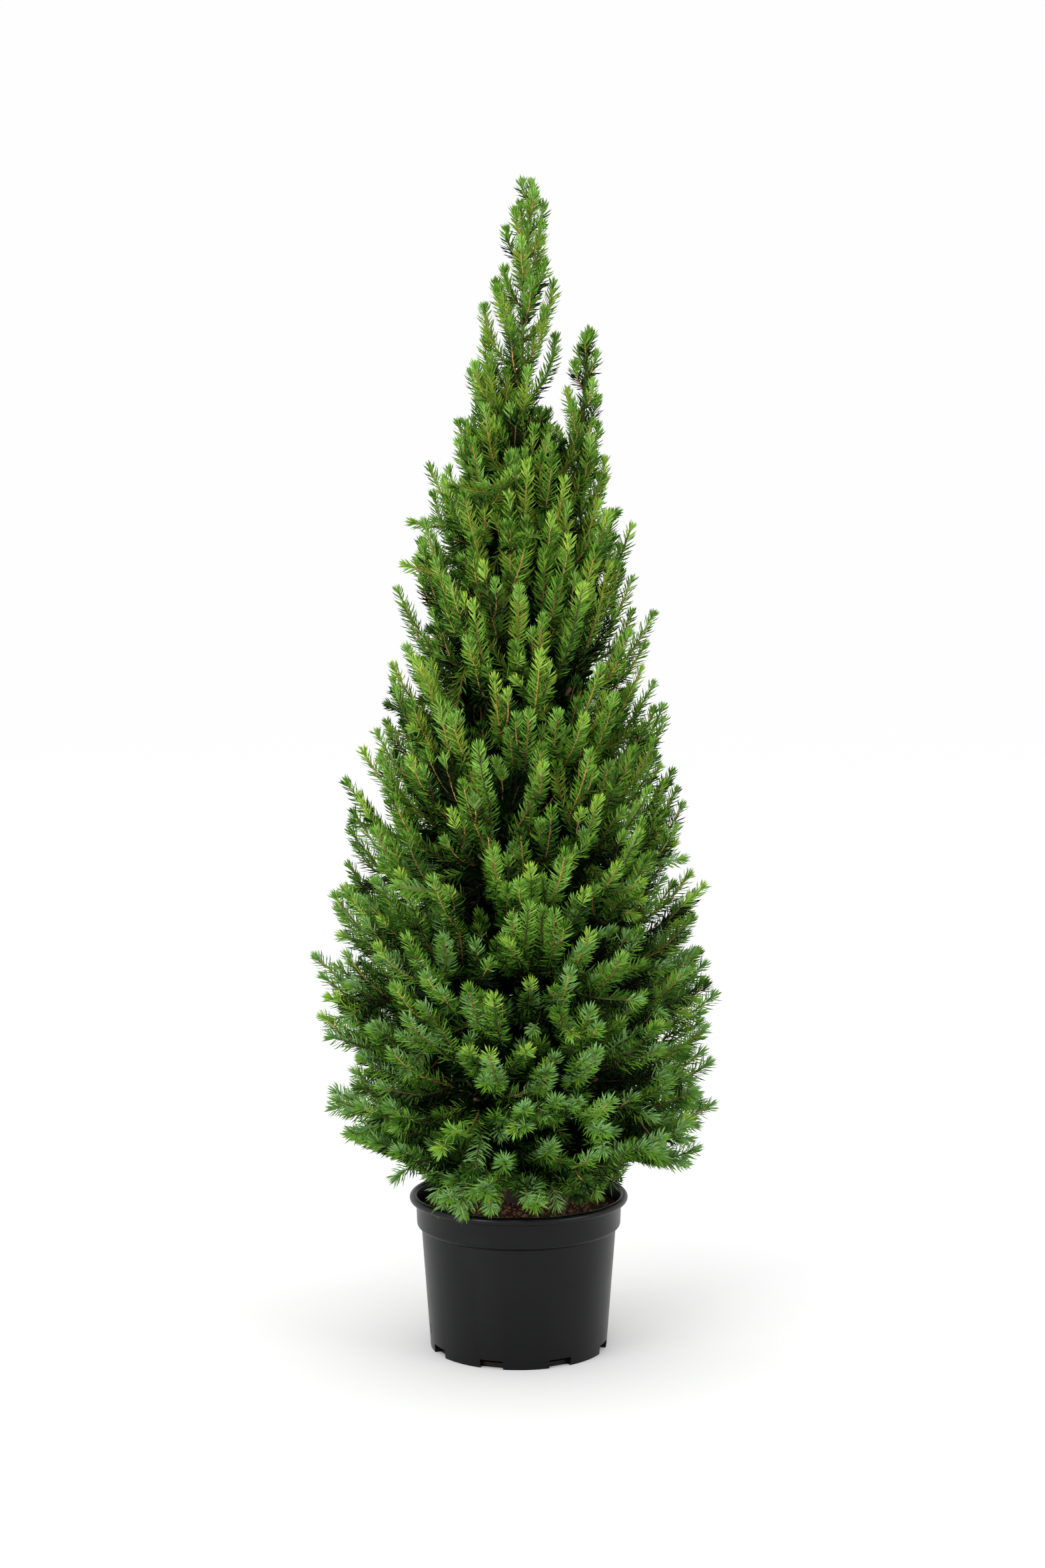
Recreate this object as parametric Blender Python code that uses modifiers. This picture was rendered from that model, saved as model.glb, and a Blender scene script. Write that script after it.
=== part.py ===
"""Dwarf spruce in a round nursery pot: pot, potting mix, trunk, boughs and masses of needles.

Units are metres, +Z is up, the pot's underside is centred on the origin and -Y is the front.
Azimuths are in degrees from +X, towards +Y.
"""

import math
import random

import bmesh
import bpy
from mathutils import Matrix, Vector

GAP = 0.0003

# Pot: a thin turned shell with a rolled rim, a collar and a notched foot
POT_HEIGHT = 0.135
POT_SIDES = 32
WALL = 0.0016
FOOT_RADIUS = 0.0769
WALL_TOP_RADIUS = 0.0846
WALL_TOP = 0.101
COLLAR_RADIUS = 0.0886
COLLAR_BOTTOM = 0.107
COLLAR_LIP_RADIUS = 0.0893
RIM_RADIUS = 0.095
RIM_BEAD = 0.0028
FLOOR_TOP = 0.0048
GROOVE_DEPTH = 0.003
GROOVE_INNER = 0.040
GROOVE_OUTER = 0.060
NOTCHES = 8
NOTCH_FIRST = -107.5
NOTCH_WIDTH = 0.0205
NOTCH_HEIGHT = 0.0075
NOTCH_DEPTH = 0.016
SLIT_AZIMUTHS = (-166.0, 14.0)
SLIT_SIZE = (0.010, 0.0016, 0.0085)
SLIT_HEIGHT = 0.019

# Potting mix: it keeps this much more than the gap clear of the wall, and a little more of the collar
MIX_EDGE = 0.1240
MIX_TOP = 0.1270
MIX_FLAT = 0.030
MIX_CLEAR = 0.0002
MIX_COLLAR_CLEAR = 0.0004

# Trunk, from a flat cut on the mix to where the leader begins
TRUNK_TOP = 0.832
TRUNK_RADIUS = 0.0092
TRUNK_TIP_RADIUS = 0.0020
FLARE_RADIUS = 0.0132
FLARE_HEIGHT = 0.022
TRUNK_RINGS = 12
TRUNK_SWAY = 0.0022

# Crown rule: a branch that leaves the trunk at a height sets off at one angle and turns up to another
CROWN_FOOT = 0.150
CROWN_CREST = 0.850
SET_OFF_FOOT, SET_OFF_CREST = -14.0, 46.0
END_FOOT, END_CREST = -25.0, 75.0
TURN_UP_POWER = 0.30
WIDE_REACH = 0.165
WIDE_UP_TO = 0.30
REACH_GONE = 0.93
LEAST_REACH = 0.08

# Crown outline: height, reach to the left and reach to the right, to the tips of the shoots
CROWN_OUTLINE = (
    (0.130, 0.102, 0.112),
    (0.160, 0.134, 0.152),
    (0.195, 0.157, 0.174),
    (0.260, 0.174, 0.174),
    (0.316, 0.172, 0.187),
    (0.357, 0.180, 0.170),
    (0.440, 0.163, 0.167),
    (0.540, 0.139, 0.145),
    (0.620, 0.122, 0.118),
    (0.718, 0.094, 0.112),
    (0.800, 0.071, 0.070),
    (0.850, 0.051, 0.046),
    (0.880, 0.037, 0.034),
    (0.930, 0.020, 0.018),
    (0.975, 0.012, 0.014),
)
BULGE = 0.045

# Tiers of masses: name, lowest and highest branch height on the trunk, masses, azimuth of the first
# border, rows of shoots and shoots a row
TIERS = (
    ("skirt", 0.146, 0.205, 6, 8.0, 2, 4),
    ("low", 0.205, 0.275, 6, 38.0, 2, 5),
    ("middle", 0.275, 0.360, 6, 15.0, 3, 3),
    ("high", 0.360, 0.475, 5, -4.0, 3, 3),
    ("shoulder", 0.475, 0.620, 4, -6.0, 3, 3),
    ("crest", 0.620, 0.790, 3, -6.0, 4, 3),
)
CORED_TIERS = ("skirt", "low", "middle", "high", "shoulder")
BOUGH_TIERS = ("skirt", "low", "middle", "high")

# Masses: shares are of the reach at that height
WHORL_STEP = 0.15
STEM_STARTS = 0.26
STEM_STARTS_BARE = 0.006
STEM_ENDS = 0.58
FORK_BACK = 0.15
FORKS_FROM, FORKS_TO = 0.08, 0.96
CORE_STARTS = 0.30
CORE_ENDS = 0.50
CORE_FILL = 0.92
CORE_END_FILL = 0.62
CORE_UNEVEN = 0.22
BARE_SHARE = 0.04
SPACE_MARGIN = 0.0012
LIMB_MARGIN = 0.0010
RIM_MARGIN = 0.0020
RIM_TOP_MARGIN = 0.0015
CORE_OVER_RIM = 0.003

# Shoots: a three-sided twig with needles standing out of its outer part, larger than life
SHOOT_LENGTH = 0.080
SHOOT_SPREAD = (0.85, 1.10)
SHOOT_SHORTENED = 0.06
ROW_JITTER = 0.18
COLUMN_JITTER = 0.15
STAGGER = 0.20
MARCH_STEP = 0.002
MARCH_STOPS = 0.012
SHORTEST_TWIG = 0.006
TWIG_RADIUS = 0.0022
SPRAY_RADIUS = 0.0052
NEEDLE_RINGS = 2
NEEDLE_OUT = 0.0080
NEEDLE_FORWARD = 0.0100
NEEDLE_SKIPS = 3
RING_TWIST = 20.0
TIP_LENGTH = 0.018

# Leaders: the top of the trunk, and an upright side bough that rivals it on the right
LEADER_TIP = Vector((0.0105, 0.0, 1.006))
RIVAL_LEAVES_TRUNK = 0.655
RIVAL_AZIMUTH = -6.0
RIVAL_FOOT = Vector((0.0490, -0.0050, 0.722))
RIVAL_TIP = Vector((0.0588, -0.0062, 0.884))
RIVAL_BEND = (0.018, 0.022)
RIVAL_BENDS_IN = Vector((0.001, 0.0, 0.030))
RIVAL_SPACE = 0.026
RIVAL_SPACE_BELOW = 0.006
LEADER_SHOOTS = 7
RIVAL_SHOOTS = 7
GOLDEN_ANGLE = 137.5

# Side shoots of a leader, each from the lowest to the highest: where along the leader they fork off,
# how far they lean out for each unit up, and their length as a share of the leader's
LEADER_FORKS = (0.04, 0.52)
LEADER_LEANS = (0.62, 0.30)
LEADER_SIDES = (0.42, 0.26)
LEADER_TURN_JITTER = 15.0
LEADER_TOP_TWIG = (0.35, 0.45)
LEADER_RADII = (TRUNK_TIP_RADIUS, 0.0018, 0.0012)
BARE_SIDE = 0.25

# Boughs
BOUGH_RADIUS = 0.0046
BOUGH_TIP_RADIUS = 0.0026
RIVAL_RADII = (BOUGH_RADIUS, BOUGH_RADIUS, 0.0040, 0.0032, BOUGH_TIP_RADIUS, BOUGH_TIP_RADIUS)
LIMB_COLLAR = 0.003
LIMB_TIP_COLLAR = 0.004
LIMB_SIDES = {"fine": 2, "coarse": 1}


def clear_scene():
    for thing in list(bpy.data.objects):
        bpy.data.objects.remove(thing)


def collection(name, hidden=False):
    made = bpy.data.collections.new(name)
    bpy.context.scene.collection.children.link(made)
    made.hide_render = hidden
    return made


def material(name, colour, roughness):
    made = bpy.data.materials.new(name)
    made.use_nodes = True
    shader = made.node_tree.nodes["Principled BSDF"]
    shader.inputs["Base Color"].default_value = (*colour, 1.0)
    shader.inputs["Roughness"].default_value = roughness
    shader.inputs["Metallic"].default_value = 0.0
    return made


def polar(radius, azimuth, height):
    angle = math.radians(azimuth)
    return Vector((radius * math.cos(angle), radius * math.sin(angle), height))


def between(low, high, share):
    return low + (high - low) * share


def place(mesh, name, group, finish, smooth=0.0):
    thing = bpy.data.objects.new(name, mesh)
    mesh.materials.clear()
    mesh.materials.append(finish)
    if smooth:
        mesh.shade_smooth()
        mesh.set_sharp_from_angle(angle=math.radians(smooth))
    group.objects.link(thing)
    return thing


def mesh_of(thing):
    """The evaluated mesh of an object, with the loose caps of a curve welded on."""
    graph = bpy.context.evaluated_depsgraph_get()
    mesh = bpy.data.meshes.new_from_object(thing.evaluated_get(graph))
    shape = bmesh.new()
    shape.from_mesh(mesh)
    bmesh.ops.remove_doubles(shape, verts=shape.verts, dist=0.00001)
    bmesh.ops.recalc_face_normals(shape, faces=shape.faces)
    shape.to_mesh(mesh)
    shape.free()
    mesh.transform(thing.matrix_world)
    return mesh


# Turned pieces


def turned(name, profile, group, finish):
    """A solid of revolution. The profile starts and ends on the axis, and runs down its outer side."""
    mesh = bpy.data.meshes.new(name)
    edges = [(i, i + 1) for i in range(len(profile) - 1)]
    mesh.from_pydata([(r, 0.0, z) for r, z in profile], edges, [])
    thing = place(mesh, name, group, finish)
    screw = thing.modifiers.new("turn", "SCREW")
    screw.axis = "Z"
    screw.steps = screw.render_steps = POT_SIDES
    screw.use_merge_vertices = True
    screw.merge_threshold = 0.00005
    screw.use_smooth_shade = True
    return thing


def rim_profile():
    """The rolled rim, from the inside over the top to its lower outer edge."""
    centre_r, centre_z = RIM_RADIUS - RIM_BEAD, POT_HEIGHT - RIM_BEAD
    turns = (160, 110, 55, 0, -60)
    return [
        (
            centre_r + RIM_BEAD * math.cos(math.radians(a)),
            centre_z + RIM_BEAD * math.sin(math.radians(a)),
        )
        for a in turns
    ]


def pot_profile():
    inside = [
        (0.0, FLOOR_TOP),
        (FOOT_RADIUS - WALL, FLOOR_TOP),
        (WALL_TOP_RADIUS - WALL, WALL_TOP + WALL / 2),
        (COLLAR_RADIUS - WALL, COLLAR_BOTTOM + WALL / 2),
    ]
    outside = [
        (COLLAR_LIP_RADIUS, POT_HEIGHT - 2 * RIM_BEAD),
        (COLLAR_RADIUS, COLLAR_BOTTOM),
        (between(WALL_TOP_RADIUS, COLLAR_RADIUS, 0.7), between(WALL_TOP, COLLAR_BOTTOM, 0.4)),
        (WALL_TOP_RADIUS, WALL_TOP),
        (FOOT_RADIUS, 0.0),
        (GROOVE_OUTER + GROOVE_DEPTH / 2, 0.0),
        (GROOVE_OUTER, GROOVE_DEPTH),
        (GROOVE_INNER + GROOVE_DEPTH / 2, GROOVE_DEPTH),
        (GROOVE_INNER, 0.0),
        (0.0, 0.0),
    ]
    return inside + rim_profile() + outside


def cutter(name, size, centre, azimuth, group):
    mesh = bpy.data.meshes.new(name)
    shape = bmesh.new()
    bmesh.ops.create_cube(shape, size=1.0)
    bmesh.ops.scale(shape, vec=size, verts=shape.verts)
    shape.to_mesh(mesh)
    shape.free()
    thing = bpy.data.objects.new(name, mesh)
    thing.location = centre
    thing.rotation_euler.z = math.radians(azimuth)
    thing.hide_render = True
    thing.display_type = "WIRE"
    group.objects.link(thing)


def pot_cutters(group):
    """Drain notches round the foot, and the narrow slits in the wall above it."""
    for i in range(NOTCHES):
        azimuth = NOTCH_FIRST + i * 360.0 / NOTCHES
        size = (2 * NOTCH_DEPTH, NOTCH_WIDTH, 2 * NOTCH_HEIGHT)
        cutter(f"notch_{i + 1}", size, polar(FOOT_RADIUS, azimuth, 0.0), azimuth, group)
    for i, azimuth in enumerate(SLIT_AZIMUTHS):
        radius = between(FOOT_RADIUS, WALL_TOP_RADIUS, SLIT_HEIGHT / WALL_TOP)
        cutter(f"slit_{i + 1}", SLIT_SIZE, polar(radius, azimuth, SLIT_HEIGHT), azimuth, group)


def pot(group, cutters, finish):
    thing = turned("pot", pot_profile(), group, finish)
    pot_cutters(cutters)
    cut = thing.modifiers.new("openings", "BOOLEAN")
    cut.operation = "DIFFERENCE"
    cut.operand_type = "COLLECTION"
    cut.collection = cutters
    cut.solver = "EXACT"


def potting_mix(group, finish):
    """The filling, a hair clear of the pot all round, nearly level with a low mound."""
    clear = WALL + GAP + MIX_CLEAR
    collar_clear = clear + MIX_COLLAR_CLEAR
    rise = (MIX_EDGE - COLLAR_BOTTOM) / (POT_HEIGHT - COLLAR_BOTTOM)
    profile = [
        (0.0, MIX_TOP),
        (MIX_FLAT, MIX_TOP),
        (between(COLLAR_RADIUS, COLLAR_LIP_RADIUS, rise) - collar_clear, MIX_EDGE),
        (COLLAR_RADIUS - collar_clear, COLLAR_BOTTOM + WALL),
        (WALL_TOP_RADIUS - clear, WALL_TOP + WALL),
        (FOOT_RADIUS - clear, FLOOR_TOP + GAP),
        (0.0, FLOOR_TOP + GAP),
    ]
    turned("potting_mix", profile, group, finish)


# Limbs


def limb(name, points, radii, group, finish, sides="coarse"):
    """A tapering limb: a tube along a curve, made a mesh with its caps welded on."""
    curve = bpy.data.curves.new(name, "CURVE")
    curve.dimensions = "3D"
    curve.bevel_depth = 1.0
    curve.bevel_resolution = LIMB_SIDES[sides]
    curve.use_fill_caps = True
    spline = curve.splines.new("POLY")
    spline.points.add(len(points) - 1)
    for spot, point, radius in zip(spline.points, points, radii, strict=True):
        spot.co = (*point, 1.0)
        spot.radius = radius
    guide = bpy.data.objects.new(name + "_guide", curve)
    group.objects.link(guide)
    bpy.context.view_layer.update()
    mesh = mesh_of(guide)
    bpy.data.objects.remove(guide)
    return place(mesh, name, group, finish, smooth=50.0)


def trunk_radius(height):
    foot = MIX_TOP + GAP
    share = min(max((height - foot) / (TRUNK_TOP - foot), 0.0), 1.0)
    flare = max(0.0, 1.0 - (height - foot) / FLARE_HEIGHT) ** 2
    return between(TRUNK_RADIUS, TRUNK_TIP_RADIUS, share) + flare * (FLARE_RADIUS - TRUNK_RADIUS)


def trunk_centre(height):
    """A slight double bend, none at the foot and at the tip."""
    foot = MIX_TOP + GAP
    share = min(max((height - foot) / (TRUNK_TOP - foot), 0.0), 1.0)
    sway = TRUNK_SWAY * math.sin(2 * math.pi * share) * math.sin(math.pi * share)
    return Vector((sway, 0.6 * sway, height))


def trunk_heights():
    foot = MIX_TOP + GAP
    flare = [foot, foot + FLARE_HEIGHT * 0.3, foot + FLARE_HEIGHT * 0.7]
    shaft = [between(foot + 1.4 * FLARE_HEIGHT, TRUNK_TOP, i / TRUNK_RINGS) for i in range(TRUNK_RINGS)]
    return flare + shaft + [TRUNK_TOP - LIMB_TIP_COLLAR, TRUNK_TOP]


def trunk(group, finish):
    heights = trunk_heights()
    points = [trunk_centre(h) for h in heights]
    points[1].xy = points[0].xy
    points[-2].xy = points[-1].xy
    limb("trunk", points, [trunk_radius(h) for h in heights], group, finish, sides="fine")


def rival_points():
    """The bough of the rival leader: out of the trunk, then upright to its own foot."""
    edge = trunk_radius(RIVAL_LEAVES_TRUNK) + GAP
    root = trunk_centre(RIVAL_LEAVES_TRUNK) + polar(edge, RIVAL_AZIMUTH, 0.0)
    out, up = RIVAL_BEND
    return [
        root,
        root + polar(LIMB_COLLAR, RIVAL_AZIMUTH, 0.0),
        root + polar(out, RIVAL_AZIMUTH, up),
        RIVAL_FOOT - RIVAL_BENDS_IN,
        RIVAL_FOOT - Vector((0, 0, LIMB_TIP_COLLAR)),
        RIVAL_FOOT,
    ]


# Crown rule


def crown_share(leaves_at):
    return min(max((leaves_at - CROWN_FOOT) / (CROWN_CREST - CROWN_FOOT), 0.0), 1.0)


def branch_height(leaves_at, radius):
    """Height, at a distance from the axis, of the branch that leaves the trunk at a height."""
    share = crown_share(leaves_at)
    set_off = math.tan(math.radians(between(SET_OFF_FOOT, SET_OFF_CREST, share)))
    end = math.tan(math.radians(between(END_FOOT, END_CREST, share**TURN_UP_POWER)))
    shrink = min(1.0, max(LEAST_REACH, (REACH_GONE - leaves_at) / (REACH_GONE - WIDE_UP_TO)))
    return leaves_at + radius * set_off + radius**2 * (end - set_off) / (2 * WIDE_REACH * shrink)


def branch_through(point):
    """Height on the trunk of the branch that would pass through a point, by halving."""
    radius, low, high = math.hypot(point.x, point.y), 0.0, 1.2
    for _ in range(24):
        middle = (low + high) / 2
        if branch_height(middle, radius) < point.z:
            low = middle
        else:
            high = middle
    return (low + high) / 2


def reach(height, azimuth):
    """Distance from the axis to the tips of the shoots, at a height and an azimuth."""
    rows = [CROWN_OUTLINE[0], *CROWN_OUTLINE, CROWN_OUTLINE[-1]]
    for (z0, left0, right0), (z1, left1, right1) in zip(rows, rows[1:], strict=False):
        if height <= z1:
            break
    share = min(max((height - z0) / max(z1 - z0, 1e-6), 0.0), 1.0)
    angle = math.radians(azimuth)
    side = (1 + math.cos(angle)) / 2
    mean = between(between(left0, left1, share), between(right0, right1, share), side)
    return mean * (1 + BULGE * math.sin(angle) ** 2 * math.sin(3 * angle + 17 * height))


def branch_point(leaves_at, azimuth, radius):
    return polar(radius, azimuth, branch_height(leaves_at, radius))


def branch_reach(leaves_at, azimuth):
    """Where the branch meets the crown's outline."""
    radius = WIDE_REACH
    for _ in range(12):
        radius = (radius + reach(branch_height(leaves_at, radius), azimuth)) / 2
    return radius


def branch_inwards(leaves_at, azimuth, radius, length):
    """The distance from the axis of the point that lies a length back along the branch."""
    here = branch_point(leaves_at, azimuth, radius)
    while radius > MARCH_STOPS:
        radius -= MARCH_STEP
        if (branch_point(leaves_at, azimuth, radius) - here).length >= length:
            break
    return radius


# Spaces


def turned_from(azimuth, other):
    return (azimuth - other + 180.0) % 360.0 - 180.0


def near_rival(point, margin):
    """Whether a point is within the column that the rival leader keeps to itself."""
    if point.z < RIVAL_FOOT.z - RIVAL_SPACE_BELOW:
        return False
    share = min(max((point.z - RIVAL_FOOT.z) / (RIVAL_TIP.z - RIVAL_FOOT.z), 0.0), 1.0)
    centre = RIVAL_FOOT.lerp(RIVAL_TIP, share)
    return math.hypot(point.x - centre.x, point.y - centre.y) < RIVAL_SPACE + margin


def over_pot(point):
    """Whether a point clears the pot and its filling."""
    outside = math.hypot(point.x, point.y) > RIM_RADIUS + RIM_MARGIN
    return outside or point.z > POT_HEIGHT + RIM_TOP_MARGIN


def in_sector(point, space, margin):
    """Whether a point is in the wedge of one tier, between two branch heights and two azimuths."""
    low, high, middle, half = space
    radius = math.hypot(point.x, point.y)
    azimuth = math.degrees(math.atan2(point.y, point.x))
    aside = math.radians(half - abs(turned_from(azimuth, middle)))
    if radius * math.sin(aside) < margin or near_rival(point, margin) or not over_pot(point):
        return False
    return low + margin < branch_through(point) < high - margin


def distance_to(point, start, end):
    along = end - start
    share = min(max((point - start).dot(along) / along.length_squared, 0.0), 1.0)
    return (point - start - along * share).length


def touches(point, limbs, margin):
    return any(distance_to(point, a, b) < radius + margin for a, b, radius in limbs)


# Masses


def ring_frames(points, radii):
    """Where each ring of a twig lies, turned a little more than the ring before it."""
    frames = []
    heading = turn = None
    for i, radius in enumerate(radii):
        ahead = points[i + 1] - points[max(i - 1, 0)]
        turn = heading.rotation_difference(ahead) @ turn if heading else ahead.to_track_quat("Z", "Y")
        heading = ahead
        spin = Matrix.Rotation(math.radians(RING_TWIST * i), 4, "Z")
        frames.append(Matrix.LocRotScale(points[i], turn, Vector.Fill(3, radius)) @ spin)
    return frames


def twig(name, bare, needled, radii, allowed, group):
    """A three-sided twig through bare points, then needled ones. Two faces in three between needled
    points are drawn out into a needle, unless the needle would not be allowed there."""
    points = bare + needled
    shape = bmesh.new()
    first = bmesh.ops.create_circle(shape, cap_ends=True, segments=3, radius=1.0)["verts"]
    frames = ring_frames(points, radii)
    bmesh.ops.transform(shape, matrix=frames[0], verts=first)
    top = shape.faces[:]
    needle_faces = []
    for i in range(1, len(frames)):
        grown = bmesh.ops.extrude_face_region(shape, geom=top)["geom"]
        if i > 1:
            bmesh.ops.delete(shape, geom=top, context="FACES_ONLY")
        ring = [v for v in grown if isinstance(v, bmesh.types.BMVert)]
        top = [f for f in grown if isinstance(f, bmesh.types.BMFace)]
        bmesh.ops.transform(shape, matrix=frames[i] @ frames[i - 1].inverted(), verts=ring)
        if i > len(bare):
            sides = {f for v in ring for f in v.link_faces} - set(top)
            ordered = sorted(sides, key=lambda f: math.atan2(*f.normal.xy))
            needle_faces += [(f, i) for k, f in enumerate(ordered) if (k + i) % NEEDLE_SKIPS]
    bmesh.ops.pointmerge(shape, verts=ring, merge_co=points[-1])
    bmesh.ops.recalc_face_normals(shape, faces=shape.faces)
    for face, i in needle_faces:
        if not face.is_valid:
            continue
        forward = (points[i] - points[i - 1]).normalized()
        outward = face.calc_center_median() - points[i - 1].lerp(points[i], 0.5)
        outward = (outward - forward * outward.dot(forward)).normalized()
        tip = face.calc_center_median() + outward * NEEDLE_OUT + forward * NEEDLE_FORWARD
        if allowed(tip):
            bmesh.ops.poke(shape, faces=[face])["verts"][0].co = tip
    mesh = bpy.data.meshes.new(name)
    shape.to_mesh(mesh)
    shape.free()
    group.objects.link(bpy.data.objects.new(name, mesh))


def shoot(name, start, base, tip, allowed, group):
    """A twig from a point of the stem to where its needles begin, and on to its tip."""
    inner = [start]
    if (base - start).length < SHORTEST_TWIG:
        base, inner = start, []
    last = tip - (tip - base).normalized() * TIP_LENGTH
    needled = [base.lerp(last, i / NEEDLE_RINGS) for i in range(NEEDLE_RINGS + 1)]
    if all(allowed(point) for point in [*needled, tip]):
        radii = [TWIG_RADIUS] * len(inner) + [TWIG_RADIUS] + [SPRAY_RADIUS] * NEEDLE_RINGS
        twig(name, inner, [*needled, tip], radii, allowed, group)


def core(name, low, high, middle, half, seeded, group):
    """A wedge inside the mass, bent along the branches, narrower and uneven at its outer end."""
    shape = bmesh.new()
    bmesh.ops.create_cube(shape, size=2.0)
    across = [e for e in shape.edges if abs(e.verts[0].co.x - e.verts[1].co.x) > 1.0]
    bmesh.ops.subdivide_edges(shape, edges=across, cuts=1, use_grid_fill=True)
    for vert in shape.verts:
        spot = vert.co
        fill = between(CORE_FILL, CORE_END_FILL, 0.5 + 0.5 * spot.z)
        azimuth = middle + half * fill * spot.x
        leaves_at = between(low, high, 0.5 + 0.5 * fill * spot.y)
        outer = branch_reach(leaves_at, azimuth)
        end = CORE_ENDS * (1 - seeded.uniform(0.0, CORE_UNEVEN))
        radius = outer * between(CORE_STARTS, end, 0.5 + 0.5 * spot.z)
        vert.co = branch_point(leaves_at, azimuth, radius)
        vert.co.z = max(vert.co.z, POT_HEIGHT + CORE_OVER_RIM)
    bmesh.ops.recalc_face_normals(shape, faces=shape.faces)
    if shape.calc_volume(signed=True) < 0:
        bmesh.ops.reverse_faces(shape, faces=shape.faces)
    mesh = bpy.data.meshes.new(name)
    shape.to_mesh(mesh)
    shape.free()
    group.objects.link(bpy.data.objects.new(name, mesh))


def keep_outer_shell(mesh):
    """Fills the small hollows that needles close in where they meet: only the largest shell stays."""
    shape = bmesh.new()
    shape.from_mesh(mesh)
    bmesh.ops.triangulate(shape, faces=shape.faces)
    left = set(shape.faces)
    shells = []
    while left:
        shell, edge_of = set(), [left.pop()]
        while edge_of:
            face = edge_of.pop()
            shell.add(face)
            plain = [edge for edge in face.edges if len(edge.link_faces) == 2]
            near = {other for edge in plain for other in edge.link_faces} & left
            left -= near
            edge_of += near
        shells.append(shell)
    largest = max(shells, key=len)
    bmesh.ops.delete(shape, geom=[f for f in shape.faces if f not in largest], context="FACES")
    shape.to_mesh(mesh)
    shape.free()


def fused(name, body, group, foliage, finish):
    """One union of a body with everything in a collection, which is then emptied."""
    union = body.modifiers.new("fuse", "BOOLEAN")
    union.operation = "UNION"
    union.operand_type = "COLLECTION"
    union.collection = foliage
    union.solver = "MANIFOLD"
    bpy.context.view_layer.update()
    graph = bpy.context.evaluated_depsgraph_get()
    mesh = bpy.data.meshes.new_from_object(body.evaluated_get(graph))
    for thing in [body, *foliage.objects]:
        bpy.data.objects.remove(thing)
    keep_outer_shell(mesh)
    place(mesh, name, group, finish)


def stem_points(leaves_at, azimuth, starts, ends, count=3):
    return [branch_point(leaves_at, azimuth, between(starts, ends, i / (count - 1))) for i in range(count)]


def point_on(path, share):
    spot = share * (len(path) - 1)
    i = min(int(spot), len(path) - 2)
    return path[i].lerp(path[i + 1], spot - i)


def sector_mass(tier, number, parts, foliage, limbs, finishes):
    """One mass of a tier, with its bough: stem, core and rows of shoots that end on the outline."""
    title, low, high, masses, border, rows, columns = tier
    half = 180.0 / masses
    middle = border + half * (2 * number + 1)
    leaves_at = between(low, high, 0.5 + WHORL_STEP * (number % 3 - 1))
    seeded = random.Random(f"{title} {number}")
    outer = branch_reach(leaves_at, middle)
    has_bough = title in BOUGH_TIERS
    trunk_edge = trunk_radius(leaves_at) + GAP
    root = trunk_centre(leaves_at) + polar(trunk_edge, middle, 0.0)
    starts = outer * STEM_STARTS if has_bough else trunk_edge + STEM_STARTS_BARE
    path = stem_points(leaves_at, middle, starts, outer * STEM_ENDS)
    collar = root + polar(LIMB_COLLAR, middle, 0.0)
    if has_bough:
        bough = [root, collar, path[0]]
        radii = [BOUGH_RADIUS, BOUGH_RADIUS, BOUGH_TIP_RADIUS]
        limb(f"{title}_bough_{number + 1}", bough, radii, parts, finishes["bark"])
        onwards = (path[0] - collar).normalized()
        stem = [path[0] + onwards * GAP, path[0] + onwards * LIMB_COLLAR, *path[1:]]
    else:
        stem = [root, collar, *path]
    stem_radii = [BOUGH_TIP_RADIUS] * (len(stem) - 1) + [TWIG_RADIUS]
    body = limb(f"{title}_stem_{number + 1}", stem, stem_radii, parts, finishes["bark"])
    space = (low, high, middle, half)

    def allowed(point):
        return in_sector(point, space, SPACE_MARGIN) and not touches(point, limbs, LIMB_MARGIN)

    bare = STEM_STARTS
    if title in CORED_TIERS:
        bare = CORE_ENDS + BARE_SHARE
        core("core", low, high, middle, half, seeded, foliage)
    for row in range(rows):
        for column in range(columns):
            along = (row + 0.5 + seeded.uniform(-ROW_JITTER, ROW_JITTER)) / rows
            stagger = STAGGER if row % 2 else -STAGGER
            across = (column + 0.5 + stagger + seeded.uniform(-COLUMN_JITTER, COLUMN_JITTER)) / columns
            start_at = between(low, high, along)
            azimuth = between(middle - half, middle + half, across)
            full = branch_reach(start_at, azimuth)
            tip_radius = full * (1 - seeded.uniform(0.0, SHOOT_SHORTENED))
            length = SHOOT_LENGTH * seeded.uniform(*SHOOT_SPREAD)
            base_radius = max(branch_inwards(start_at, azimuth, tip_radius, length), full * bare)
            base = branch_point(start_at, azimuth, base_radius)
            tip = branch_point(start_at, azimuth, tip_radius)
            fork = (base_radius - FORK_BACK * outer - starts) / (outer * STEM_ENDS - starts)
            start = point_on(path, min(max(fork, FORKS_FROM), FORKS_TO))
            shoot(f"shoot_{row}_{column}", start, base, tip, allowed, foliage)
    fused(f"{title}_foliage_{number + 1}", body, parts, foliage, finishes["needles"])


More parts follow.
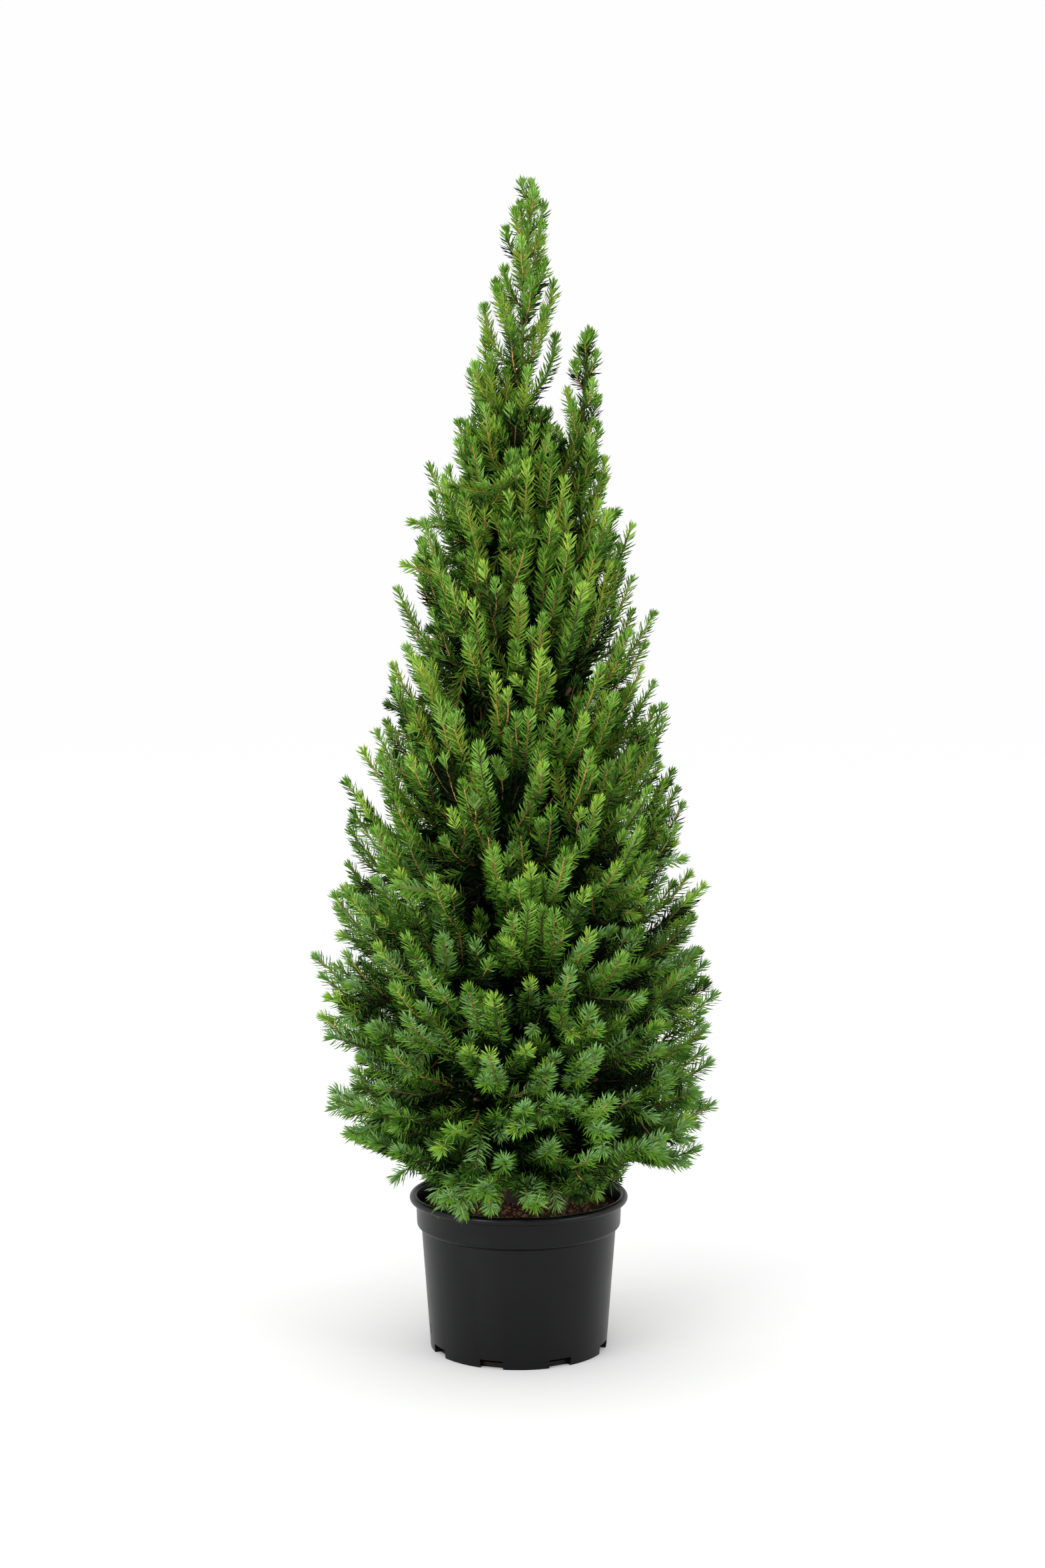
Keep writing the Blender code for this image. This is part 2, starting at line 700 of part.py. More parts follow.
def leader_mass(name, foot, tip, shoots, space, parts, foliage, limbs, finishes):
    """An upright shoot with shorter ones that fork off it, by the golden angle, all the way up."""
    seeded = random.Random(name)
    ahead = (tip - foot).normalized()
    points = [foot, foot.lerp(tip, 0.5), tip - ahead * TIP_LENGTH]
    body = limb(name + "_stem", points, LEADER_RADII, parts, finishes["bark"])

    def allowed(point):
        return space(point) and not touches(point, limbs, LIMB_MARGIN)

    length = (tip - foot).length
    bare, needled = LEADER_TOP_TWIG
    shoot("top", foot.lerp(tip, bare), foot.lerp(tip, needled), tip, allowed, foliage)
    for i in range(shoots):
        rank = i / (shoots - 1)
        start = foot.lerp(tip, between(*LEADER_FORKS, rank))
        azimuth = i * GOLDEN_ANGLE + seeded.uniform(-LEADER_TURN_JITTER, LEADER_TURN_JITTER)
        side = length * between(*LEADER_SIDES, rank)
        heading = polar(between(*LEADER_LEANS, rank), azimuth, 1.0).normalized()
        base = start + heading * side * BARE_SIDE
        shoot(f"side_{i}", start, base, start + heading * side, allowed, foliage)
    fused(name, body, parts, foliage, finishes["needles"])


def main():
    clear_scene()
    parts = collection("potted_spruce")
    cutters = collection("cutters", hidden=True)
    foliage = collection("foliage_pieces")
    finishes = {
        "plastic": material("pot_plastic", (0.017, 0.018, 0.020), 0.42),
        "mix": material("potting_mix", (0.045, 0.024, 0.013), 0.95),
        "bark": material("bark", (0.16, 0.085, 0.045), 0.85),
        "needles": material("needles", (0.075, 0.190, 0.045), 0.55),
    }
    pot(parts, cutters, finishes["plastic"])
    potting_mix(parts, finishes["mix"])
    trunk(parts, finishes["bark"])

    heights = trunk_heights()
    limbs = [
        (trunk_centre(a), trunk_centre(b), trunk_radius(a))
        for a, b in zip(heights, heights[1:], strict=False)
    ]
    rival = rival_points()
    limb("rival_leader_bough", rival, RIVAL_RADII, parts, finishes["bark"])
    limbs += [(a, b, BOUGH_RADIUS) for a, b in zip(rival, rival[1:], strict=False)]

    for tier in TIERS:
        for number in range(tier[3]):
            sector_mass(tier, number, parts, foliage, limbs, finishes)

    def above_tiers(point):
        return branch_through(point) > TIERS[-1][2] + SPACE_MARGIN and not near_rival(point, SPACE_MARGIN)

    up = Vector((0, 0, GAP))
    leader_mass(
        "leader_foliage", trunk_centre(TRUNK_TOP) + up, LEADER_TIP, LEADER_SHOOTS, above_tiers,
        parts, foliage, limbs, finishes,
    )
    leader_mass(
        "rival_leader_foliage", RIVAL_FOOT + up, RIVAL_TIP, RIVAL_SHOOTS,
        lambda point: near_rival(point, -SPACE_MARGIN), parts, foliage, limbs, finishes,
    )
    bpy.data.collections.remove(foliage)


main()
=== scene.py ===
"""Dresses the potted dwarf spruce: the nursery pot, the potting mix, the bark, the twigs and needles.

Metres, +Z up, the pot's underside centred on the origin, -Y to the front. Azimuths are in degrees
from +X towards +Y. The crown grows by the same rule as the solids that it replaces.
"""

import math
from collections import namedtuple

import bpy
import numpy as np
from bpy.props import FloatProperty, FloatVectorProperty, IntProperty, PointerProperty
from bpy.types import Operator, Panel, PropertyGroup
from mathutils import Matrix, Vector


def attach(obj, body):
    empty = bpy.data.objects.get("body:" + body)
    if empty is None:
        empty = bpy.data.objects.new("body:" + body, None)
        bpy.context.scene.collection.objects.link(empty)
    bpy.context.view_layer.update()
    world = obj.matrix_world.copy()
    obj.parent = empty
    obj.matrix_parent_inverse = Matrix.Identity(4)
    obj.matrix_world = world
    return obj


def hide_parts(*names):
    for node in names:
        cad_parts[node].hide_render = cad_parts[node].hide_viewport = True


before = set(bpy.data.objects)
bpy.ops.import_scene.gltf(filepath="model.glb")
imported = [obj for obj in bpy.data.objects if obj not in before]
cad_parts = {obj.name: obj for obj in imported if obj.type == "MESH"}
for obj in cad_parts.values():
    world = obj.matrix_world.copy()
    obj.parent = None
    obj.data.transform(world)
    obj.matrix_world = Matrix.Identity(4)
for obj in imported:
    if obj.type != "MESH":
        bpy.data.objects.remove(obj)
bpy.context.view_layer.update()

bl_info = {
    "name": "Potted Dwarf Spruce",
    "version": (1, 0, 0),
    "blender": (4, 5, 0),
    "location": "View3D > Sidebar > Spruce",
    "description": "Models a dwarf conical spruce in a round nursery pot, with its stage",
    "category": "Object",
}

# Pot, as in the solids, but for the rim's fatter roll and the higher step under the collar
POT_HEIGHT = 0.135
WALL = 0.0016
FOOT_RADIUS = 0.0769
WALL_TOP_RADIUS = 0.0846
WALL_TOP = 0.1052
COLLAR_RADIUS = 0.0886
COLLAR_BOTTOM = 0.1080
COLLAR_LIP_RADIUS = 0.0893
COLLAR_LEDGE = 0.0005
RIM_RADIUS = 0.095
RIM_BEAD = 0.0034
FLOOR_TOP = 0.0048
GROOVE_DEPTH = 0.003
GROOVE_INNER = 0.040
GROOVE_OUTER = 0.060
NOTCHES = 8
NOTCH_FIRST = -107.5
NOTCH_SIZE = (0.012, 0.0205, 0.015)
SLIT_AZIMUTHS = (-166.0, 14.0)
SLIT_SIZE = (0.010, 0.0016, 0.0085)
SLIT_HEIGHT = 0.019

# Rounding of the profile's corners, and the smallest ring of a turned shape
LIP_ROUND = 0.0008
COLLAR_ROUND = 0.0018
LEDGE_ROUND = 0.0003
FOOT_ROUND = 0.0010
INNERMOST = 0.004

# Potting mix
MIX_EDGE = 0.1240
MIX_TOP = 0.1270
MIX_EDGE_RADIUS = 0.0868
MIX_CLEAR = 0.0002
MIX_CLEAR_COLLAR = 0.0004
MIX_CLEAR_EDGE = 0.0006
MIX_EDGE_DEPTH = 0.004
MIX_SINK = 0.0024
MIX_RINGS = 30
MIX_SEGMENTS = 132

# Lumps in the mix: size of their grain, and height as a multiple of the panel's
LUMPS = ((0.0085, 0.75), (0.0032, 0.55))

# Bark chips: size, uneven sides and corners as shares of it, and place on the mix
CHIP_SEED = 11
CHIP_SIZES = (0.0010, 0.0034)
CHIP_SIDES = (0.45, 1.6)
CHIP_CORNERS = (0.75, 1.2)
CHIP_SINK = 0.0012
CHIP_TOP = 0.0022
CHIPS_FROM_EDGE = 0.003

# Trunk and boughs, as in the solids
GAP = 0.0003
TRUNK_FOOT = MIX_TOP + GAP
TRUNK_TOP = 0.832
TRUNK_RADIUS = 0.0092
TRUNK_TIP_RADIUS = 0.0020
FLARE_RADIUS = 0.0132
FLARE_HEIGHT = 0.022
TRUNK_SWAY = 0.0022
BOUGH_RADIUS = 0.0046
BOUGH_TIP_RADIUS = 0.0026
LIMB_COLLAR = 0.003

# Bark, with what its ridges leave of a limb's radius, and their height and size
TRUNK_RINGS = 220
TRUNK_SIDES = 28
TRUNK_CORE = 0.985
TRUNK_RIDGES = (0.0012, 0.004)
BOUGH_STEP = 0.0025
BOUGH_SIDES = 14
BOUGH_CORE = 0.97
BOUGH_RIDGES = (0.0007, 0.003)
RIDGE_MIDDLE = 0.9

# Crown rule, as in the solids
CROWN_FOOT = 0.150
CROWN_CREST = 0.850
SET_OFF_FOOT, SET_OFF_CREST = -14.0, 46.0
END_FOOT, END_CREST = -25.0, 75.0
TURN_UP_POWER = 0.30
WIDE_REACH = 0.165
WIDE_UP_TO = 0.30
REACH_GONE = 0.93
LEAST_REACH = 0.08
CROWN_OUTLINE = (
    (0.130, 0.102, 0.112),
    (0.160, 0.134, 0.152),
    (0.195, 0.157, 0.174),
    (0.260, 0.174, 0.174),
    (0.316, 0.172, 0.187),
    (0.357, 0.180, 0.170),
    (0.440, 0.163, 0.167),
    (0.540, 0.139, 0.145),
    (0.620, 0.122, 0.118),
    (0.718, 0.094, 0.112),
    (0.800, 0.071, 0.070),
    (0.850, 0.051, 0.046),
    (0.880, 0.037, 0.034),
    (0.930, 0.020, 0.018),
    (0.975, 0.012, 0.014),
)
BULGE = 0.045
WHORL_STEP = 0.15
STEM_STARTS = 0.26
STEM_ENDS = 0.58
STEM_CLEAR = 0.006
STEM_TIP_RADIUS = 0.0016
GOLDEN_ANGLE = 137.5
GOLDEN_SHARE = 0.618

# Tiers: name, lowest and highest branch height, masses, first border, whether boughs carry them,
# and rows and columns of branches in each mass
Tier = namedtuple("Tier", "title low high masses border has_bough rows columns")
TIERS = (
    Tier("skirt", 0.146, 0.205, 6, 8.0, True, 3, 6),
    Tier("low", 0.205, 0.275, 6, 38.0, True, 3, 7),
    Tier("middle", 0.275, 0.360, 6, 15.0, True, 3, 7),
    Tier("high", 0.360, 0.475, 5, -4.0, True, 4, 7),
    Tier("shoulder", 0.475, 0.620, 4, -6.0, False, 4, 7),
    Tier("crest", 0.620, 0.790, 3, -6.0, False, 4, 9),
)

# Leaders: course, then the number of shoots and the length of the longest
LEADER_FOOT = TRUNK_TOP - 0.02
LEADER_TIP = (0.0105, 0.0, 0.998)
LEADER_SHOOTS = (26, 0.070)
RIVAL_LEAVES_TRUNK = 0.655
RIVAL_AZIMUTH = -6.0
RIVAL_BEND = (0.018, 0.022)
RIVAL_RISE = (0.001, 0.0, 0.030)
RIVAL_RADII = (BOUGH_RADIUS, BOUGH_RADIUS, 0.0040, 0.0032, BOUGH_TIP_RADIUS)
RIVAL_FOOT = (0.0490, -0.0050, 0.722)
RIVAL_TIP = (0.0588, -0.0062, 0.874)
RIVAL_SHOOTS = (17, 0.052)

# Stage, with each soft light's name, place, aim, size and power
CAMERA_PLACE = (0.0033, -2.2, 0.677)
CAMERA_PITCH = 4.82
CAMERA_LENS = 58.95
FLOOR_SIZE = 40.0
FLOOR_BACK = 12.0
WHITE = (1.0, 1.0, 1.0)
WORLD_STRENGTH = 0.99
LIGHTS = (
    ("key", (-2.0, -1.9, 0.50), (0.0, 0.0, 0.35), (1.6, 1.0), 46.0),
    ("fill", (2.4, -1.4, 0.50), (0.0, 0.0, 0.35), (1.2, 1.0), 22.0),
    ("top", (-0.2, -1.7, 1.60), (0.0, -0.1, 0.10), (0.6, 0.3), 4.0),
)


def metres(name, description, default, least, most):
    return FloatProperty(
        name=name, description=description, default=default, min=least, max=most, unit="LENGTH"
    )


def rgb(name, description, *default):
    return FloatVectorProperty(
        name=name, description=description, default=default, size=3, subtype="COLOR", min=0.0, max=1.0
    )


class SpruceCrown(PropertyGroup):
    needle_length: metres("Needle Length", "Length of a full-grown needle", 0.0120, 0.004, 0.03)
    needle_width: metres("Needle Width", "Width of a needle at its middle", 0.00112, 0.0003, 0.004)
    needle_spacing: metres("Needle Spacing", "Length of twig that each needle has", 0.00047, 0.0003, 0.01)
    twig_radius: metres("Twig Radius", "Radius of a needled twig at its foot", 0.0008, 0.0003, 0.005)
    seed: IntProperty(name="Seed", description="Which of many like crowns grows", default=7, min=0)


class SpruceColours(PropertyGroup):
    tip: rgb("Tip Needles", "Yellow-green of the youngest needles", 0.300, 0.480, 0.055)
    fresh: rgb("Fresh Needles", "Light green of the outer needles", 0.212, 0.410, 0.068)
    sunny: rgb("Sunny Needles", "Yellow-green of the needles high up", 0.195, 0.305, 0.030)
    leaf: rgb("Outer Needles", "Green of most needles", 0.125, 0.276, 0.026)
    # The older needles' own darker green, which also serves as painted shade inside the crown and under the
    # shoots
    deep: rgb("Older Needles", "Darker green further in", 0.036, 0.104, 0.010)
    cool: rgb("Shaded Needles", "Blue-green of the low and shaded needles", 0.190, 0.370, 0.110)
    # Painted shade: near-black green that stands for the shade inside the crown
    inner: rgb("Inner Needles", "Near-black green inside the crown", 0.003, 0.012, 0.002)
    dry: rgb("Dry Needles", "Brown of the dried sprig", 0.075, 0.042, 0.020)
    ochre: rgb("Young Twigs", "Light ochre of this year's twigs", 0.480, 0.280, 0.080)
    tan: rgb("Twigs", "Tan of last year's twigs", 0.230, 0.115, 0.038)
    brown: rgb("Old Twigs", "Brown of the inner twigs", 0.060, 0.034, 0.018)
    # The bark's own grey-brown, darkened near to black as painted shade of the crown over the trunk
    bark: rgb("Bark", "Grey-brown of the trunk", 0.028, 0.019, 0.013)
    plastic: rgb("Pot Plastic", "Near-black of the pot", 0.0016, 0.0017, 0.0023)
    mix: rgb("Potting Mix", "Dark brown of moist peat and bark", 0.125, 0.062, 0.031)


class SprucePotSizes(PropertyGroup):
    segments: IntProperty(
        name="Segments", description="Sides of the round pot", default=144, min=24, max=512
    )
    lump: metres("Lumps", "Height of the lumps in the potting mix", 0.0042, 0.0, 0.02)
    chips: IntProperty(
        name="Bark Chips", description="Loose chips that lie on the mix", default=900, min=0, max=4000
    )


NEEDLE_TINTS = ("tip", "fresh", "sunny", "leaf", "deep", "cool", "inner", "dry")
TWIG_TINTS = ("ochre", "tan", "brown")
# The near-black tint of painted shade, for the needles inside the crown and along the trunk
PAINTED_SHADE_TINT = NEEDLE_TINTS.index("inner")
BROWN = TWIG_TINTS.index("brown")

# The tint that each needle tint turns to on older wood, and as painted shade on a shoot's underside
DARKER = np.array((1, 3, 3, 4, 6, 3, 6, 7))

UP = np.array((0.0, 0.0, 1.0))


# Small helpers


def between(low, high, share):
    return low + (high - low) * share


def shares_of(count):
    return np.linspace(0.0, 1.0, count)


def share_over(value, start, span):
    """How much of a span a value has covered, from 0 to 1."""
    return np.clip((value - start) / span, 0.0, 1.0)


def smoothstep(share):
    share = np.clip(share, 0.0, 1.0)
    return share * share * (3.0 - 2.0 * share)


def unit(vectors):
    return vectors / np.maximum(np.linalg.norm(vectors, axis=-1, keepdims=True), 1e-9)


def polar(radius, azimuth, height):
    angle = np.radians(azimuth)
    return np.stack(np.broadcast_arrays(radius * np.cos(angle), radius * np.sin(angle), height), axis=-1)


def deselect():
    bpy.ops.object.select_all(action="DESELECT")


def take(piece):
    """Makes a piece the only one selected, and active."""
    deselect()
    piece.select_set(True)
    bpy.context.view_layer.objects.active = piece


def smooth(piece, degrees):
    take(piece)
    bpy.ops.object.shade_smooth_by_angle(angle=math.radians(degrees))


def join(pieces):
    deselect()
    for piece in pieces:
        piece.select_set(True)
    bpy.context.view_layer.objects.active = pieces[0]
    bpy.ops.object.join()
    return bpy.context.object


def add_relief(piece, kind, scale, height, middle, **settings):
    """A displacement by a noise texture, in the piece's own coordinates."""
    noise = bpy.data.textures.new("relief", kind)
    noise.noise_scale = scale
    relief = piece.modifiers.new("relief", "DISPLACE")
    relief.texture = noise
    relief.texture_coords = "LOCAL"
    relief.mid_level = middle
    relief.strength = height
    for name, value in settings.items():
        setattr(relief, name, value)


def apply_all(piece):
    take(piece)
    for modifier in list(piece.modifiers):
        bpy.ops.object.modifier_apply(modifier=modifier.name)


def settle(piece, name, finish, *nodes, slot):
    """Gives a finished piece its name and material, puts it under the root body and hides the solids that it
    stands for.
    """
    piece.name = piece.data.name = name
    if finish:
        piece.data.materials.clear()
        piece.data.materials.append(finish)
    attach(piece, "root")
    if nodes:
        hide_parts(*nodes)


def add_object(name, data):
    added = bpy.data.objects.new(name, data)
    bpy.context.scene.collection.objects.link(added)
    return added


def mesh_piece(name, points, triangles, tints=None, finishes=()):
    """A mesh object from arrays of points, triangles and each triangle's material index."""
    mesh = bpy.data.meshes.new(name)
    mesh.vertices.add(len(points))
    mesh.vertices.foreach_set("co", np.asarray(points, np.float32).ravel())
    mesh.loops.add(triangles.size)
    mesh.loops.foreach_set("vertex_index", np.asarray(triangles, np.int32).ravel())
    mesh.polygons.add(len(triangles))
    mesh.polygons.foreach_set("loop_start", np.arange(0, triangles.size, 3, dtype=np.int32))
    for finish in finishes:
        mesh.materials.append(finish)
    if tints is not None:
        mesh.polygons.foreach_set("material_index", np.asarray(tints, np.int32))
    mesh.update(calc_edges=True)
    mesh.validate()
    return add_object(name, mesh)


# Materials


# Speckled finishes: light and dark as multiples of the colour, scale of the blotches and the grain,
# smoothest and roughest, relief and specular level
SPECKLES = {
    "Pot Plastic": (1.25, 0.85, 22.0, 900.0, 0.30, 0.38, 0.00006, 0.19),
    "Potting Mix": (1.3, 0.25, 190.0, 900.0, 0.85, 1.0, 0.0012, 0.3),
    "Bark Chips": (3.0, 0.4, 120.0, 1500.0, 0.7, 0.95, 0.0003, 0.35),
    "Bark": (1.6, 0.5, 150.0, 620.0, 0.75, 0.95, 0.0009, 0.3),
}
GRAIN_SHARE = 0.45
NOISE_SPREAD = (0.45, 0.95)

# Plain finishes of the needles and the twigs: roughness and specular level
NEEDLE_SHEEN = (0.55, 0.09)
TWIG_SHEEN = (0.6, 0.3)
# Painted shade: the share of the mix's colour that its sides and underside take, dark as the recess behind
# the notches
SHADED_MIX = 0.03


def shader_of(finish):
    return finish.node_tree.nodes["Principled BSDF"]


def new_finish(name, roughness, specular):
    finish = bpy.data.materials.new(name)
    finish.use_nodes = True
    shader = shader_of(finish)
    shader.inputs["Roughness"].default_value = roughness
    shader.inputs["Specular IOR Level"].default_value = specular
    return finish


def plain_finish(name, colour, roughness, specular):
    finish = new_finish(name, roughness, specular)
    shader_of(finish).inputs["Base Color"].default_value = (*colour, 1.0)
    return finish


def shaded(colour, amount):
    return tuple(min(1.0, c * amount) for c in colour)


def wire(tree, *wires):
    """Links sockets, each row being a node, its output, another node and its input."""
    for source, output, target, entry in wires:
        tree.links.new(source.outputs[output], target.inputs[entry])


def speckle_group():
    """Colour, roughness and height that vary in blotches and grains, on Object coordinates."""
    name = "Speckle"
    if name in bpy.data.node_groups:
        return bpy.data.node_groups[name]
    group = bpy.data.node_groups.new(name, "ShaderNodeTree")
    sockets = (
        ("INPUT", "NodeSocketColor", ("Light", "Dark")),
        ("INPUT", "NodeSocketFloat", ("Blotch Scale", "Grain Scale", "Smoothest", "Roughest")),
        ("OUTPUT", "NodeSocketColor", ("Color",)),
        ("OUTPUT", "NodeSocketFloat", ("Roughness", "Height")),
    )
    for side, kind, labels in sockets:
        for label in labels:
            group.interface.new_socket(label, in_out=side, socket_type=kind)
    entry, out = group.nodes.new("NodeGroupInput"), group.nodes.new("NodeGroupOutput")
    kinds = ("TexCoord", "TexNoise", "TexNoise", "Math", "MapRange", "Mix", "MapRange")
    place, blotch, grain, both, spread, tint, rough = (group.nodes.new("ShaderNode" + kind) for kind in kinds)
    blotch.inputs["Detail"].default_value = 4.0
    grain.inputs["Detail"].default_value = 2.0
    both.operation = "MULTIPLY_ADD"
    both.inputs[1].default_value = GRAIN_SHARE
    spread.inputs["From Min"].default_value, spread.inputs["From Max"].default_value = NOISE_SPREAD
    tint.data_type = "RGBA"
    wire(
        group,
        (place, "Object", blotch, "Vector"),
        (entry, "Blotch Scale", blotch, "Scale"),
        (place, "Object", grain, "Vector"),
        (entry, "Grain Scale", grain, "Scale"),
        (grain, "Fac", both, 0),
        (blotch, "Fac", both, 2),
        (both, "Value", spread, "Value"),
        (spread, "Result", tint, "Factor"),
        (entry, "Dark", tint, "A"),
        (entry, "Light", tint, "B"),
        (spread, "Result", rough, "Value"),
        (entry, "Smoothest", rough, "To Min"),
        (entry, "Roughest", rough, "To Max"),
        (tint, "Result", out, "Color"),
        (rough, "Result", out, "Roughness"),
        (both, "Value", out, "Height"),
    )
    return group


def speckled_finish(name, colour):
    light, dark, blotch, grain, smoothest, roughest, relief, specular = SPECKLES[name]
    finish = new_finish(name, roughest, specular)
    shader = shader_of(finish)
    speckle = finish.node_tree.nodes.new("ShaderNodeGroup")
    speckle.node_tree = speckle_group()
    settings = {
        "Light": (*shaded(colour, light), 1.0),
        "Dark": (*shaded(colour, dark), 1.0),
        "Blotch Scale": blotch,
        "Grain Scale": grain,
        "Smoothest": smoothest,
        "Roughest": roughest,
    }
    for label, value in settings.items():
        speckle.inputs[label].default_value = value
    bump = finish.node_tree.nodes.new("ShaderNodeBump")
    bump.inputs["Strength"].default_value = 1.0
    bump.inputs["Distance"].default_value = relief
    wire(
        finish.node_tree,
        (speckle, "Color", shader, "Base Color"),
        (speckle, "Roughness", shader, "Roughness"),
        (speckle, "Height", bump, "Height"),
        (bump, "Normal", shader, "Normal"),
    )
    return finish


def tint_finishes(context, kind, tints, sheen):
    """A plain finish for each tint, made once."""
    colours = context.scene.spruce_colours
    finishes = []
    for tint in tints:
        name = f"{kind} {tint.title()}"
        found = bpy.data.materials.get(name)
        finishes.append(found or plain_finish(name, getattr(colours, tint), *sheen))
    return finishes


# Shapes that are extruded ring by ring


def limb(points, radii, sides, turn=(0.0, 0.0, 0.0)):
    """A disc that is extruded along a route, ring by ring, into a closed shape."""
    bpy.ops.mesh.primitive_circle_add(
        vertices=sides, radius=radii[0], fill_type="NGON", location=points[0], rotation=turn
    )
    piece = bpy.context.object
    bpy.ops.object.mode_set(mode="EDIT")
    bpy.ops.mesh.select_mode(type="FACE")
    bpy.ops.mesh.select_all(action="SELECT")
    for i in range(1, len(points)):
        bpy.ops.mesh.extrude_region_move(TRANSFORM_OT_translate={"value": tuple(points[i] - points[i - 1])})
        scale = radii[i] / radii[i - 1]
        bpy.ops.transform.resize(value=(scale, scale, scale), center_override=tuple(points[i]))
    bpy.ops.mesh.select_all(action="SELECT")
    bpy.ops.mesh.normals_make_consistent(inside=False)
    bpy.ops.object.mode_set(mode="OBJECT")
    take(piece)
    bpy.ops.object.transform_apply(location=True, rotation=True, scale=True)
    return piece


def turned(rings, segments):
    """A shape turned about the upright axis, from rows of radius and height."""
    rings = np.array(rings)
    return limb(rings[:, 1:] * UP, rings[:, 0], segments)


# Pot and potting mix


def rim_arc():
    """The rolled rim, from the inside over the top to its lower outer edge."""
    centre_r, centre_z = RIM_RADIUS - RIM_BEAD, POT_HEIGHT - RIM_BEAD
    turns = np.radians(np.arange(165, -76, -20))
    return [(centre_r + RIM_BEAD * math.cos(a), centre_z + RIM_BEAD * math.sin(a)) for a in turns]


def rounded(before, corner, after, size, steps=3):
    """A corner of a profile, rounded off by a small arc."""
    corner = np.array(corner)
    first = corner + unit(np.array(before) - corner) * size
    last = corner + unit(np.array(after) - corner) * size
    shares = shares_of(steps + 1)[:, None]
    curve = (1 - shares) ** 2 * first + 2 * shares * (1 - shares) * corner + shares**2 * last
    return [tuple(point) for point in curve]


def pot_rings():
    inner_top = (WALL_TOP_RADIUS - WALL, WALL_TOP + WALL / 2)
    collar_in = (COLLAR_RADIUS - WALL, COLLAR_BOTTOM + WALL / 2)
    rim = rim_arc()
    lip = (COLLAR_LIP_RADIUS, POT_HEIGHT - 2 * RIM_BEAD)
    collar = (COLLAR_RADIUS, COLLAR_BOTTOM)
    ledge = (WALL_TOP_RADIUS + COLLAR_LEDGE, WALL_TOP)
    wall = (WALL_TOP_RADIUS, WALL_TOP - COLLAR_LEDGE)
    foot = (FOOT_RADIUS, 0.0)
    return [
        (INNERMOST, FLOOR_TOP),
        (FOOT_RADIUS - WALL, FLOOR_TOP),
        inner_top,
        collar_in,
        *rim,
        *rounded(rim[-1], lip, collar, LIP_ROUND, 2),
        *rounded(lip, collar, ledge, COLLAR_ROUND, 4),
        *rounded(collar, ledge, wall, LEDGE_ROUND, 2),
        wall,
        *rounded(wall, foot, (0.0, 0.0), FOOT_ROUND),
        (GROOVE_OUTER + GROOVE_DEPTH / 2, 0.0),
        (GROOVE_OUTER, GROOVE_DEPTH),
        (GROOVE_INNER + GROOVE_DEPTH / 2, GROOVE_DEPTH),
        (GROOVE_INNER, 0.0),
        (INNERMOST, 0.0),
    ]


def box_cutter(size, radius, azimuth, height):
    place = tuple(polar(radius, azimuth, height))
    turn = (0.0, 0.0, math.radians(azimuth))
    bpy.ops.mesh.primitive_cube_add(size=1.0, location=place, rotation=turn, scale=size)
    return bpy.context.object


def cut_out(piece, cutters):
    """Joins the cutters, subtracts them and removes them."""
    tool = join(cutters)
    cut = piece.modifiers.new("openings", "BOOLEAN")
    cut.operation = "DIFFERENCE"
    cut.object = tool
    apply_all(piece)
    bpy.data.objects.remove(tool)


def build_pot(context):
    piece = turned(pot_rings(), context.scene.spruce_pot.segments)
    turns = [NOTCH_FIRST + i * 360.0 / NOTCHES for i in range(NOTCHES)]
    cutters = [box_cutter(NOTCH_SIZE, FOOT_RADIUS, azimuth, 0.0) for azimuth in turns]
    radius = between(FOOT_RADIUS, WALL_TOP_RADIUS, SLIT_HEIGHT / WALL_TOP)
    cutters += [box_cutter(SLIT_SIZE, radius, azimuth, SLIT_HEIGHT) for azimuth in SLIT_AZIMUTHS]
    cut_out(piece, cutters)
    smooth(piece, 38)
    finish = speckled_finish("Pot Plastic", context.scene.spruce_colours.plastic)
    settle(piece, "pot_moulding", finish, "pot", slot="pot_plastic")


def chip_mesh():
    """One flat-sided crumb of bark, about the origin and a unit across."""
    bpy.ops.mesh.primitive_ico_sphere_add(subdivisions=1, radius=0.5, location=(0, 0, 0))
    chip = bpy.context.object
    points = np.array([vert.co for vert in chip.data.vertices])
    triangles = np.array([face.vertices for face in chip.data.polygons])
    bpy.data.objects.remove(chip)
    return points, triangles


def turn_matrices(rng, count):
    """Random turns, one for each small thing."""
    axes = unit(rng.normal(size=(count, 3)))
    angles = rng.uniform(0.0, 2.0 * np.pi, count)[:, None, None]
    cross = np.cross(np.eye(3), axes[:, None])
    return np.eye(3) + np.sin(angles) * cross + (1 - np.cos(angles)) * (cross @ cross)


